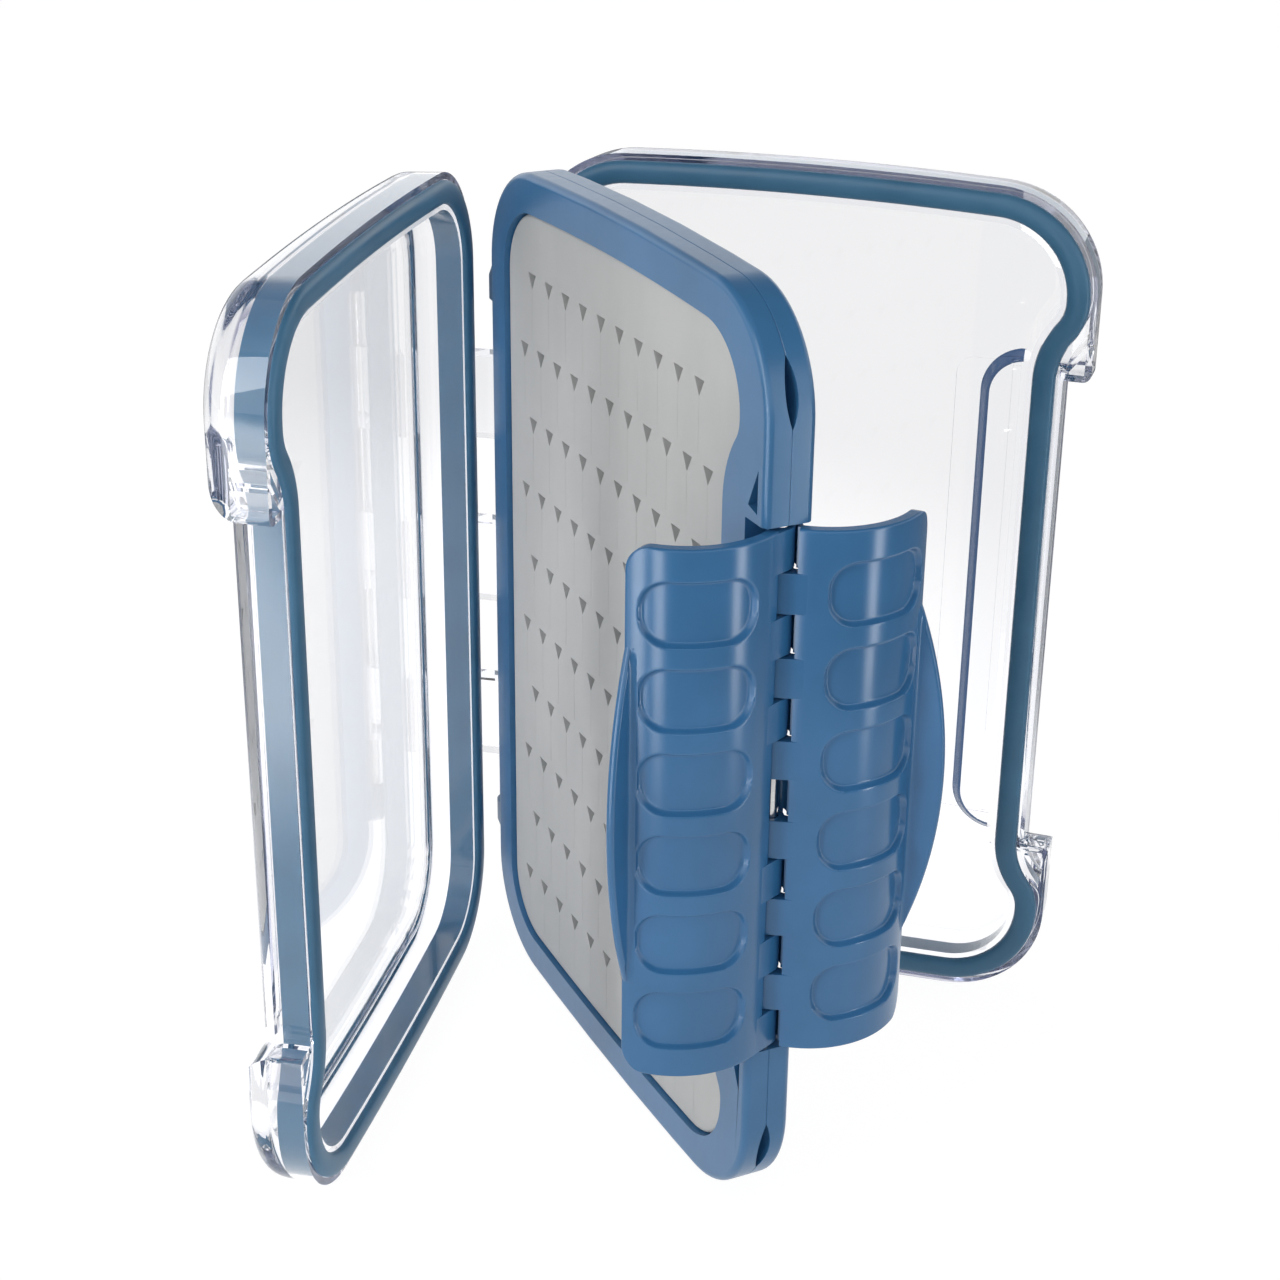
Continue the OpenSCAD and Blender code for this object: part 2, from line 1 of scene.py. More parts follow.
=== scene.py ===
"""A double sided fly box, standing opened on its short end.

The leaf in the middle carries a slotted pad on each face. A clear lid with a soft gasket turns on
the hinge pin over each face, and a long snap latch for each lid turns on the pin at the other edge.
Sizes are in millimetres, as in the part's own source, and become metres where a mesh is made.
Each lid and latch is drawn shut on the +Y side, mirrored for the front, and then swung open.
"""
import math

import bmesh
import bpy
import numpy as np
from mathutils import Matrix, Vector


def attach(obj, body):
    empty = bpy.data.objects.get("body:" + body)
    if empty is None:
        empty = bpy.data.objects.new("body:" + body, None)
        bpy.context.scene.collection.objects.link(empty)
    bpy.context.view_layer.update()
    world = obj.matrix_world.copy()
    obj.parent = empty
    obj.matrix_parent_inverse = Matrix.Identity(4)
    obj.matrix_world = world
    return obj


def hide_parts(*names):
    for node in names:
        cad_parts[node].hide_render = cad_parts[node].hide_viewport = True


MM = 0.001

# Leaf
LEAF_W, LEAF_H, LEAF_T = 101.5, 153.0, 8.0
HALF_T, MID_Z = LEAF_T / 2, LEAF_H / 2
CORNER_R, END_ARCH_R = 18.0, 650.0
LEAF_EDGE_R = 1.2
LEAF_STEP, SEAM, LEAF_SOFT = 5.7, 0.12, 0.28
LEAF_END_STEPS = 3
CORD_SLOT_L, CORD_SLOT_W, CORD_SLOT_END = 10.2, 2.0, 14.0
POCKET_IN, POCKET_L, POCKET_NEAR, POCKET_D = 2.2, 8.0, 1.4, 2.6
POCKET_TIP_IN, POCKET_TIP_L = 0.7, 2.1

# Pads
PAD_T, PAD_SUNK, PAD_GAP = 2.4, 0.8, 0.2
SLOT_PITCH, ROW_PITCH = 6.9, 12.7
SLOT_ROWS, SLOTS_LONG = 10, 11
SLOT_W, SLOT_H, SLIT_L, SLIT_W = 3.2, 2.7, 8.6, 0.05
SLOT_SHIFT, SLOT_RISE, SLOT_D, PAD_EDGE_R = 0.4, 0.4, 1.7, 0.7

# Lids
LID_DEPTH, LID_INSET, LID_SHORT, RIM_GAP = 10.4, 0.3, 2.0, 1.3
RIM_WALL, GROOVE_W, GROOVE_D, INNER_WALL = 1.2, 4.0, 4.7, 1.0
PANEL_T, LID_EDGE_R, LID_DRAFT = 1.8, 4.5, 0.3
WAIST_SHIFT, WAIST_BEND_R = 4.6, 11.0
BLOCK_FLAT, BLOCK_ROLL, BLOCK_EDGE_R = 0.5, 7.3, 1.5
BLOCK_POCKET_D, BLOCK_WEB = 6.0, 0.8
RELIEF_W, RELIEF_D, RELIEF_R, RELIEF_END = 9.8, 0.2, 3.0, 0.5
LINE_W, LINE_D, LINE_END = 1.4, 0.14, 1.0
SEAT_RIM, LAND_RIM, LAND_R, FILLET_R = 5.2, 2.6, 8.0, 2.6
LAND_EDGE_R, LAND_FOOT = 0.8, 1.0
LID_SOFT = 0.22
GASKET_GAP, SEAL_GAP = 0.1, 0.15
# Painted shade on the lids: its reach from the land's edge, where it stops short, its share on the rim's
# face, and where that ends along X
PAINTED_SHADE_REACH, PAINTED_SHADE_SHORT, RIM_PAINTED_SHADE, RIM_PAINTED_SHADE_X1 = 1.7, 1.5, 0.75, 58.75

# Lid hinge
HINGE_OFF, HINGE_PIN_R, KNUCKLE_R, LUG_R, LUG_L = 2.6, 1.1, 2.3, 2.9, 8.0
LUG_CHAMFER, LUG_ROOT_X, LUG_TIP_R = 0.35, 1.5, 1.5
KNUCKLE_ROW, KNUCKLE_L, KNUCKLE_PITCH, KNUCKLE_GAP = 97.6, 15.2, 15.75, 0.3
ARM_RISE, ARM_R = 5.6, 1.5
PIN_PLAY, PIN_IN, PIN_SHORT, PIN_CHAMFER = 0.06, 6.0, 0.5, 0.2

# Latches
LATCH_END_GAP, LATCH_OFF = 0.5, 2.4
LATCH_PIN_R, LATCH_KNUCKLE_R = 1.1, 2.1
LATCH_R, LATCH_T, LATCH_FLAT, LATCH_REACH = 15.5, 2.0, 0.9, 14.43
LATCH_GAP, LATCH_PLACES = 0.3, 13
FRONT_PLACES, BACK_PLACES, MIDDLE_PLACE = (0, 2, 4, 8, 10, 12), (1, 3, 5, 7, 9, 11), 6
RECESS_COUNT, RECESS_D, RECESS_W, RECESS_R = 6, 1.0, 18.5, 4.6
RECESS_RIB, RECESS_END, RECESS_DIRECTION = 2.95, 3.25, 52.0
RIM_R, FLOOR_R, WALL_SLOPE = 0.28, 0.4, 70.0
PLATE_EDGE_R, PLATE_COLUMNS, PLATE_ROWS, PLATE_END = 0.35, 150, 500, 2.0
FREE_R, LIP_H, LIP_T, LIP_END = 4.0, 5.0, 1.3, 15.5
LIP_ROOT, LIP_SUNK, LIP_CROWN_R = 0.8, 1.2, 0.5
PLACE_GAP, KNUCKLE_SOFT, CUP_SOFT = 0.15, 0.14, 0.1
CUP_IN, CUP_OUT, CUP_START, CUP_END = 2.4, 3.2, 92.0, 165.0

# How far each part stands open, in degrees
FRONT_LID_OPEN, BACK_LID_OPEN = 38.0, 45.5
FRONT_LATCH_OPEN, BACK_LATCH_OPEN = 35.0, 44.0

# How far the tools that clear the latches' room reach past the leaf's edge
FAR = 60.0

# Worked out from the sizes above, as in the part's source
LID_X0, LID_X1 = LID_INSET, LEAF_W - LID_SHORT
LID_Y = HALF_T + RIM_GAP
LID_TOP = LID_Y + LID_DEPTH
SEAL_IN = RIM_WALL + GROOVE_W + INNER_WALL
BEND_A = math.acos(1 - WAIST_SHIFT / (2 * WAIST_BEND_R))
BEND_L = 2 * WAIST_BEND_R * math.sin(BEND_A)
CORNER_LEAN = math.asin(((LID_X1 - LID_X0) / 2 - CORNER_R) / (END_ARCH_R - CORNER_R))
CORNER_RISE = (END_ARCH_R * math.cos(CORNER_LEAN * 0.2)
               - (END_ARCH_R - CORNER_R) * math.cos(CORNER_LEAN))
BLOCK_Z0 = LID_INSET + CORNER_RISE + BLOCK_FLAT + BEND_L
BLOCK_Z1 = LEAF_H - BLOCK_Z0
LATCH_Z0, LATCH_Z1 = BLOCK_Z0 + LATCH_END_GAP, BLOCK_Z1 - LATCH_END_GAP
LATCH_L = LATCH_Z1 - LATCH_Z0
HINGE_X, LATCH_X = -HINGE_OFF, LEAF_W - LATCH_OFF
LEAF_STEP_X = LEAF_W - LEAF_STEP
SEAT_R = LATCH_R - LATCH_T - LATCH_GAP
SEAT_Y = LID_TOP - SEAT_R
LATCH_CX = math.sqrt(LATCH_REACH ** 2 - SEAT_Y ** 2)
SEAT_X = LATCH_X - LATCH_CX
BLOCK_END = BLOCK_Z0 - LATCH_GAP
LUG_Z0 = MID_Z - KNUCKLE_ROW / 2 - KNUCKLE_GAP
LUG_Z1 = MID_Z + KNUCKLE_ROW / 2 + KNUCKLE_GAP
PLACE_L = LATCH_L / LATCH_PLACES

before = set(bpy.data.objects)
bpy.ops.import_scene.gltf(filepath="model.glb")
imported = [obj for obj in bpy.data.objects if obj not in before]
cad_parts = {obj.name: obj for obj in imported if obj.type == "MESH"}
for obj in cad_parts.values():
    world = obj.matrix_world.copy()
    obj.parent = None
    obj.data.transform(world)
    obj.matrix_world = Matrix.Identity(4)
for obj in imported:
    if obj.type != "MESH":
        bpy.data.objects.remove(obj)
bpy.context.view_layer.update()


# Outlines
def arc(cx, cz, r, a0, a1, n):
    """Points along an arc, as [x, z] rows, angles in degrees."""
    a = np.radians(np.linspace(a0, a1, n + 1))
    return np.column_stack([cx + r * np.cos(a), cz + r * np.sin(a)])


def slab(x0, x1, z0, z1, d=0.0, n=18, steps=9):
    """A rounded outline with slightly arched ends, anticlockwise, shrunk by d all round."""
    cx, a = (x0 + x1) / 2, (x1 - x0) / 2 - CORNER_R
    lean = math.degrees(math.asin(a / (END_ARCH_R - CORNER_R)))
    foot = END_ARCH_R * math.cos(math.radians(lean / (steps + 1)))
    bow = lean * steps / (steps + 1)
    rise = foot - math.sqrt((END_ARCH_R - CORNER_R) ** 2 - a * a)
    r, big = CORNER_R - d, END_ARCH_R - d
    return np.vstack([
        arc(cx + a, z0 + rise, r, -90 + lean, 0, n),
        arc(cx + a, z1 - rise, r, 0, 90 - lean, n),
        arc(cx, z1 - foot, big, 90 - bow, 90 + bow, steps),
        arc(cx - a, z1 - rise, r, 90 + lean, 180, n),
        arc(cx - a, z0 + rise, r, 180, 270 - lean, n),
        arc(cx, z0 + foot, big, 270 - bow, 270 + bow, steps)])


def seal(d=0.0, n=18):
    """The lid's outline, drawn in between the latch blocks by two smooth bends, shrunk by d."""
    s = slab(LID_X0, LID_X1, LID_INSET, LEAF_H - LID_INSET, d, n)
    out_x, in_x = LID_X1 - WAIST_BEND_R, LID_X1 - WAIST_SHIFT + WAIST_BEND_R
    low, high = BLOCK_Z0 - BEND_L, BLOCK_Z1 + BEND_L
    a, m = math.degrees(BEND_A), 10
    return np.vstack([
        s[:n + 1],
        arc(out_x, low, WAIST_BEND_R - d, 0, a, m),
        arc(in_x, BLOCK_Z0, WAIST_BEND_R + d, 180 + a, 180, m),
        arc(in_x, BLOCK_Z1, WAIST_BEND_R + d, 180, 180 - a, m),
        arc(out_x, high, WAIST_BEND_R - d, -a, 0, m),
        s[n + 1:]])


def rounded_box(x0, x1, z0, z1, r, n=6):
    """A rectangle with round corners, anticlockwise."""
    return np.vstack([
        arc(x1 - r, z0 + r, r, -90, 0, n), arc(x1 - r, z1 - r, r, 0, 90, n),
        arc(x0 + r, z1 - r, r, 90, 180, n), arc(x0 + r, z0 + r, r, 180, 270, n)])


def at_y(outline, y):
    """An XZ outline as a ring in space at depth y."""
    return np.column_stack([outline[:, 0], np.full(len(outline), y), outline[:, 1]])


def at_z(outline, z):
    """An XY outline as a ring in space at height z."""
    return np.column_stack([outline[:, 0], outline[:, 1], np.full(len(outline), z)])


def land_outline():
    """The D of the land: straight beside the rim, with two round corners towards the panel."""
    x0, x1 = SEAT_X - SEAT_RIM, LID_X1 - WAIST_SHIFT - SEAL_IN + FILLET_R
    z0, z1 = BLOCK_Z0 - LAND_RIM, BLOCK_Z1 + LAND_RIM
    return np.vstack([
        [[x1, z0], [x1, z1]], arc(x0 + LAND_R, z1 - LAND_R, LAND_R, 90, 180, 14),
        arc(x0 + LAND_R, z0 + LAND_R, LAND_R, 180, 270, 14)])


def away_from(points, outline):
    """How far each XZ point lies from a closed outline."""
    a, b = outline, np.roll(outline, -1, axis=0)
    along = b - a
    offset = points[:, None, :] - a[None]
    t = np.clip((offset * along).sum(axis=2) / np.maximum((along * along).sum(axis=1), 1e-9), 0, 1)
    return np.linalg.norm(offset - t[:, :, None] * along, axis=2).min(axis=1)


def inset(outline, d):
    """An anticlockwise outline moved inwards by d, point by point."""
    def left(v):
        v = v / np.linalg.norm(v, axis=1)[:, None]
        return np.column_stack([-v[:, 1], v[:, 0]])
    before, after = np.roll(outline, 1, axis=0), np.roll(outline, -1, axis=0)
    n = left(outline - before) + left(after - outline)
    return outline + n * (d * 2 / (n * n).sum(axis=1))[:, None]


# Meshes
def shell(name, rings, around=False):
    """A solid through a stack of rings with as many points each; around joins the last to the first."""
    rings = [np.asarray(r, float) for r in rings]
    m, n = len(rings), len(rings[0])
    verts = np.vstack(rings)
    k = np.arange(m if around else m - 1)[:, None]
    i = np.arange(n)[None, :]
    a, b, j = k * n, ((k + 1) % m) * n, (i + 1) % n
    quads = np.stack([a + i, a + j, b + j, b + i], axis=-1).reshape(-1, 4)
    faces = [tuple(int(v) for v in q) for q in quads]
    if not around:
        faces.append(tuple(range(n - 1, -1, -1)))
        faces.append(tuple((m - 1) * n + v for v in range(n)))
    return solid(name, verts, faces)


def solid(name, verts, faces):
    """A mesh object from millimetre points with X from the hinge edge, its faces pointing outwards."""
    verts = np.array(verts, float)
    verts[:, 0] -= LEAF_W / 2
    mesh = bpy.data.meshes.new(name)
    mesh.from_pydata((verts * MM).tolist(), [], faces)
    mesh.validate()
    if signed_volume(mesh) < 0:
        mesh.flip_normals()
    piece = bpy.data.objects.new(name, mesh)
    bpy.context.scene.collection.objects.link(piece)
    return piece


def signed_volume(mesh):
    """Six times the volume inside the mesh, negative where its faces point inwards."""
    mesh.calc_loop_triangles()
    co = np.array([v.co[:] for v in mesh.vertices])
    tri = np.array([t.vertices[:] for t in mesh.loop_triangles])
    p, q, r = co[tri[:, 0]], co[tri[:, 1]], co[tri[:, 2]]
    return float(np.einsum("ij,ij->i", p, np.cross(q, r)).sum())


def prism_x(name, outline, x0, x1):
    """A YZ outline with width from x0 to x1."""
    rings = [np.column_stack([np.full(len(outline), x), outline]) for x in (x0, x1)]
    return shell(name, rings)


def prism_y(name, outline, y0, y1):
    """An XZ outline with depth from y0 to y1."""
    return shell(name, [at_y(outline, y0), at_y(outline, y1)])


def prism_z(name, outline, z0, z1):
    """An XY outline with height from z0 to z1."""
    return shell(name, [at_z(outline, z0), at_z(outline, z1)])


def rod(name, x, y, r, z0, z1, chamfer=0.0, n=40):
    """An upright round rod with chamfered ends."""
    def ring(radius, z):
        return at_z(arc(x, y, radius, 0, 360, n)[:-1], z)
    if chamfer == 0:
        return shell(name, [ring(r, z0), ring(r, z1)])
    return shell(name, [
        ring(r - chamfer, z0), ring(r, z0 + chamfer), ring(r, z1 - chamfer), ring(r - chamfer, z1)])


def worked_in(piece):
    """The piece with its modifiers worked in, as a plain mesh."""
    graph = bpy.context.evaluated_depsgraph_get()
    mesh = bpy.data.meshes.new_from_object(piece.evaluated_get(graph))
    piece.modifiers.clear()
    piece.data = mesh
    return piece


def boolean(piece, tool, operation):
    """Works a tool into a piece and takes the tool away."""
    change = piece.modifiers.new("change", "BOOLEAN")
    change.operation, change.object, change.solver = operation, tool, "EXACT"
    worked_in(piece)
    bpy.data.objects.remove(tool)


def cut(piece, *tools):
    """The piece without the space of each tool."""
    for tool in tools:
        boolean(piece, tool, "DIFFERENCE")
    return piece


def weld(piece, *tools):
    """The piece made one with each tool."""
    for tool in tools:
        boolean(piece, tool, "UNION")
    return piece


def joined(name, pieces):
    """Several meshes as one object, without welding them."""
    first = pieces[0]
    with bpy.context.temp_override(active_object=first, selected_editable_objects=pieces):
        bpy.ops.object.join()
    first.name = first.data.name = name
    return first


def soften(piece, width, segments=2, angle=40):
    """Takes the sharpness off the edges, as a mould does."""
    bevel = piece.modifiers.new("soft edges", "BEVEL")
    bevel.width, bevel.segments = width * MM, segments
    bevel.limit_method, bevel.angle_limit = "ANGLE", math.radians(angle)
    bevel.miter_outer = "MITER_ARC"
    return worked_in(piece)


def smooth(piece, angle=32, weighted=True):
    """Smooth shading up to an edge angle, with flat faces kept flat."""
    piece.data.shade_smooth()
    piece.data.set_sharp_from_angle(angle=math.radians(angle))
    if weighted:
        normals = piece.modifiers.new("flat faces", "WEIGHTED_NORMAL")
        normals.keep_sharp, normals.weight = True, 50
        worked_in(piece)
    return piece


def to_side(piece, side):
    """Mirrors what is drawn on the +Y side for the front."""
    if side < 0:
        piece.data.transform(Matrix.Scale(-1, 4, Vector((0, 1, 0))))
        piece.data.flip_normals()
    return piece


def swing(piece, x, side, angle):
    """Turns a shut lid or latch about its upright pin at x."""
    at = Matrix.Translation(Vector(((x - LEAF_W / 2) * MM, 0, 0)))
    turn = Matrix.Rotation(math.radians(side * angle), 4, "Z")
    piece.data.transform(at @ turn @ at.inverted())
    return piece


def finished(piece, body, slot, material, *nodes):
    """Gives a piece its material, the body that it moves with and the CAD nodes that it stands for."""
    piece.data.materials.clear()
    piece.data.materials.append(material)
    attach(piece, body)
    if nodes:
        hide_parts(*nodes)
    return piece


# Materials
CLEAR_DENSITY = 7.0
# Face attribute that carries painted shade on the clear lids' edges
PAINTED_SHADE_ATTRIBUTE = "painted edge shade"


def feed(tree, node, inputs):
    """Links a node's inputs, by name or number, to sockets, or sets them to values."""
    for name, value in inputs.items():
        if isinstance(value, bpy.types.NodeSocket):
            tree.links.new(value, node.inputs[name])
        else:
            node.inputs[name].default_value = value
    return node


def add_node(tree, kind, inputs):
    """A new node with its inputs linked or set."""
    return feed(tree, tree.nodes.new(kind), inputs)


def node_of(tree, kind):
    """The node of a kind that a new material has."""
    return next(n for n in tree.nodes if n.type == kind)


def new_material(name):
    """A material with its node tree, its Principled shader and Object coordinates."""
    mat = bpy.data.materials.new(name)
    mat.use_nodes = True
    tree = mat.node_tree
    place = tree.nodes.new("ShaderNodeTexCoord").outputs["Object"]
    return mat, tree, node_of(tree, "BSDF_PRINCIPLED"), place


def noise(tree, place, scale, detail=3.0, stretch=(1, 1, 1)):
    """A noise pattern in object space; scale is in bumps to the metre."""
    mapping = add_node(tree, "ShaderNodeMapping", {"Vector": place, "Scale": stretch})
    return add_node(tree, "ShaderNodeTexNoise", {
        "Vector": mapping.outputs["Vector"], "Scale": scale, "Detail": detail}).outputs["Fac"]


def ramp(tree, value, low, high, at=(0.35, 0.65)):
    """Turns a pattern into a colour between low and high."""
    colours = add_node(tree, "ShaderNodeValToRGB", {"Fac": value})
    for stop, position, colour in zip(colours.color_ramp.elements, at, (low, high)):
        stop.position, stop.color = position, (*colour, 1)
    return colours.outputs["Color"]


def spread(tree, value, low, high):
    """Turns a pattern into a number between low and high."""
    return add_node(tree, "ShaderNodeMapRange", {
        "Value": value, "From Min": 0.3, "From Max": 0.7, "To Min": low, "To Max": high,
    }).outputs["Result"]


def fade(tree, value, start, end, first=0.0, last=1.0):
    """A smooth change from first to last while a value grows from start to end."""
    span = add_node(tree, "ShaderNodeMapRange", {
        "Value": value, "From Min": start, "From Max": end, "To Min": first, "To Max": last})
    span.interpolation_type = "SMOOTHSTEP"
    return span.outputs["Result"]


def mixed(tree, share, first, second):
    """A blend of two looks."""
    return add_node(tree, "ShaderNodeMixShader", {"Fac": share, 1: first, 2: second}).outputs["Shader"]


def maths(tree, operation, a, b=0.0):
    """One step of arithmetic on sockets or numbers."""
    node = add_node(tree, "ShaderNodeMath", {0: a, 1: b})
    node.operation = operation
    return node.outputs["Value"]


def bump(tree, value, strength, distance):
    """Relief that follows a pattern; distance is in metres."""
    return add_node(tree, "ShaderNodeBump", {
        "Height": value, "Strength": strength, "Distance": distance}).outputs["Normal"]


def moulded_plastic(name, colour, rough):
    """Satin moulded plastic: faint mottling, fine flow marks and handling rub."""
    mat, tree, shader, place = new_material(name)
    dark = tuple(c * 0.93 for c in colour)
    light = tuple(min(1, c * 1.07) for c in colour)
    mottle = noise(tree, place, 60, 4)
    rub = noise(tree, place, 900, 5, (1, 1, 0.12))
    grain = noise(tree, place, 2600, 3)
    feed(tree, shader, {
        "Base Color": ramp(tree, mottle, dark, light),
        "Roughness": spread(tree, rub, rough * 0.94, rough * 1.08),
        "Normal": bump(tree, grain, 0.10, 0.00002),
        "IOR": 1.53})
    return mat


def soft_pad():
    """Matt silicone pad, a little cloudy, with a fine grain."""
    mat, tree, shader, place = new_material("soft grey pad")
    cloud = noise(tree, place, 35, 5, (1, 1, 0.5))
    grain = noise(tree, place, 3200, 4)
    feed(tree, shader, {
        "Base Color": ramp(tree, cloud, (0.475, 0.485, 0.48), (0.56, 0.565, 0.555)),
        "Roughness": spread(tree, grain, 0.55, 0.72),
        "Normal": bump(tree, grain, 0.22, 0.00004),
        "IOR": 1.42,
        "Sheen Weight": 0.08})
    return mat


def gasket_rubber():
    """Smooth soft rubber with a slight bloom."""
    mat, tree, shader, place = new_material("gasket rubber")
    bloom = noise(tree, place, 90, 4)
    grain = noise(tree, place, 2000, 2)
    feed(tree, shader, {
        "Base Color": ramp(tree, bloom, (0.044, 0.150, 0.262), (0.058, 0.182, 0.310)),
        "Roughness": spread(tree, bloom, 0.34, 0.46),
        "Normal": bump(tree, grain, 0.12, 0.00002),
        "IOR": 1.48})
    return mat


def clear_plastic():
    """Polished clear plastic: thin walls are clear and long ways turn violet blue; the marked edges get
    painted navy shade.
    """
    mat, tree, shader, place = new_material("clear plastic")
    edge = tree.nodes.new("ShaderNodeAttribute")
    edge.attribute_name = PAINTED_SHADE_ATTRIBUTE
    flow = noise(tree, place, 70, 3, (1, 1, 0.4))
    feed(tree, shader, {
        # Painted shade: faces marked by the attribute turn dark navy in the base colour
        "Base Color": ramp(tree, edge.outputs["Fac"], (0.985, 0.985, 0.995), (0.004, 0.012, 0.045),
                           (0.0, 1.0)),
        "Roughness": spread(tree, flow, 0.004, 0.02),
        "Normal": bump(tree, flow, 0.04, 0.00004),
        "Transmission Weight": 1.0,
        "IOR": 1.5})
    path = tree.nodes.new("ShaderNodeLightPath").outputs
    passing = add_node(tree, "ShaderNodeBsdfTransparent", {"Color": (0.92, 0.925, 0.95, 1)})
    tint = add_node(tree, "ShaderNodeVolumeAbsorption", {
        "Color": (0.40, 0.45, 0.70, 1), "Density": CLEAR_DENSITY})
    look = mixed(tree, path["Is Shadow Ray"], shader.outputs["BSDF"], passing.outputs["BSDF"])
    feed(tree, node_of(tree, "OUTPUT_MATERIAL"), {"Surface": look, "Volume": tint.outputs["Volume"]})
    return mat


def pin_steel():
    """Polished steel rod with fine turning marks."""
    mat, tree, shader, place = new_material("pin steel")
    turning = noise(tree, place, 1500, 3, (0.1, 0.1, 3))
    feed(tree, shader, {
        "Base Color": ramp(tree, turning, (0.58, 0.58, 0.59), (0.70, 0.70, 0.71)),
        "Roughness": spread(tree, turning, 0.14, 0.26),
        "Metallic": 1.0})
    return mat


LEAF_PLASTIC = moulded_plastic("leaf plastic", (0.042, 0.160, 0.335), 0.30)
LATCH_PLASTIC = moulded_plastic("latch plastic", (0.037, 0.157, 0.345), 0.20)
PAD_RUBBER = soft_pad()
GASKET_RUBBER = gasket_rubber()
CLEAR_PLASTIC = clear_plastic()
PIN_STEEL = pin_steel()


# Leaf
def edge_round(y0, y1, r, steps, d0=0.0):
    """(inset, y) pairs from y0 up a wall and over a rounded edge that ends at y1."""
    pairs = [(0.0, y0)]
    for i in range(steps + 1):
        a = math.radians(90 * i / steps)
        pairs.append((d0 + r * (1 - math.cos(a)), y1 - r + r * math.sin(a)))
    return pairs


def hinge_lug(up):
    """Half of a leaf lug that holds the hinge pin, its outer end ramped down."""
    z0, way = (LUG_Z1, 1) if up else (LUG_Z0, -1)
    rings = []
    for r, rise in ((LUG_R - LUG_CHAMFER, 0), (LUG_R, LUG_CHAMFER), (LUG_R, 4.5),
                    (LUG_R - 2 * LUG_CHAMFER, 6.6), (LUG_TIP_R, LUG_L)):
        ring = np.vstack([arc(HINGE_X, 0, r, 180, 90, 16), [[LUG_ROOT_X, r], [LUG_ROOT_X, 0.0]]])
        rings.append(at_z(ring, z0 + way * rise))
    return shell("lug", rings)


def cord_slot(z):
    """Almond shaped slot in the latch edge, open on the seam."""
    half = CORD_SLOT_W / 2
    bow = (CORD_SLOT_L ** 2 / 4 + half * half) / (2 * half)
    sweep = math.degrees(math.asin(CORD_SLOT_L / 2 / bow))
    side = arc(half - bow, 0, bow, -sweep, sweep, 14)
    lens = np.vstack([side, -side[1:-1]])
    rings = [np.column_stack([np.full(len(lens), x), lens[:, 0], z + lens[:, 1]])
             for x in (LEAF_W - 5, LEAF_W + 5)]
    return shell("slot", rings)


def leaf_half(side, name):
    """One moulded half of the leaf: pad pocket, latch bay, corner pockets, cord slots and lugs."""
    pairs = [(SEAM, 0.0), (0.0, SEAM), *edge_round(2 * SEAM, HALF_T, LEAF_EDGE_R, 6)]
    half = shell(name, [at_y(slab(0, LEAF_W, 0, LEAF_H, d, steps=LEAF_END_STEPS), y)
                        for d, y in pairs])
    pocket_y = HALF_T - PAD_SUNK - PAD_T
    bay = np.array([[LEAF_STEP_X, BLOCK_Z0], [LEAF_W + FAR, BLOCK_Z0],
                    [LEAF_W + FAR, BLOCK_Z1], [LEAF_STEP_X, BLOCK_Z1]])
    corner = np.array([[LEAF_W - POCKET_IN, BLOCK_Z0 - POCKET_L],
                       [LEAF_W - POCKET_IN, BLOCK_Z0 - POCKET_NEAR],
                       [LEAF_STEP_X + POCKET_TIP_IN, BLOCK_Z0 - POCKET_TIP_L]])
    cut(half,
        prism_y("pocket", seal(SEAL_IN), pocket_y, HALF_T + 5),
        prism_y("bay", bay, -5, HALF_T + 5),
        *[prism_y("corner", at_end(corner, upper), HALF_T - POCKET_D, HALF_T + 5)
          for upper in (False, True)],
        cord_slot(CORD_SLOT_END), cord_slot(LEAF_H - CORD_SLOT_END),
        rod("bore", LATCH_X, 0, LATCH_PIN_R + PIN_PLAY, LATCH_Z0 - PIN_IN, LATCH_Z1 + PIN_IN))
    soften(half, LEAF_SOFT, 3)
    lugs = [hinge_lug(True), hinge_lug(False)]
    for lug in lugs:
        cut(lug, rod("bore", HINGE_X, 0, HINGE_PIN_R + PIN_PLAY, LUG_Z0 - PIN_IN, LUG_Z1 + PIN_IN))
    half = joined(name, [half, *lugs])
    return smooth(to_side(half, side))


# Pads
def slot_cutter():
    """The space of one fly slot: a three cornered mouth with a fine slit below it."""
    w, h, s = SLOT_W / 2, SLOT_H / 2, SLIT_W / 2
    mouth = np.array([[-w, h], [-s, -h], [-s, -h - SLIT_L], [s, -h - SLIT_L], [s, -h], [w, h]])
    return prism_y("slot cutter", mouth + [LEAF_W / 2, 0], -SLOT_D, 1.0)


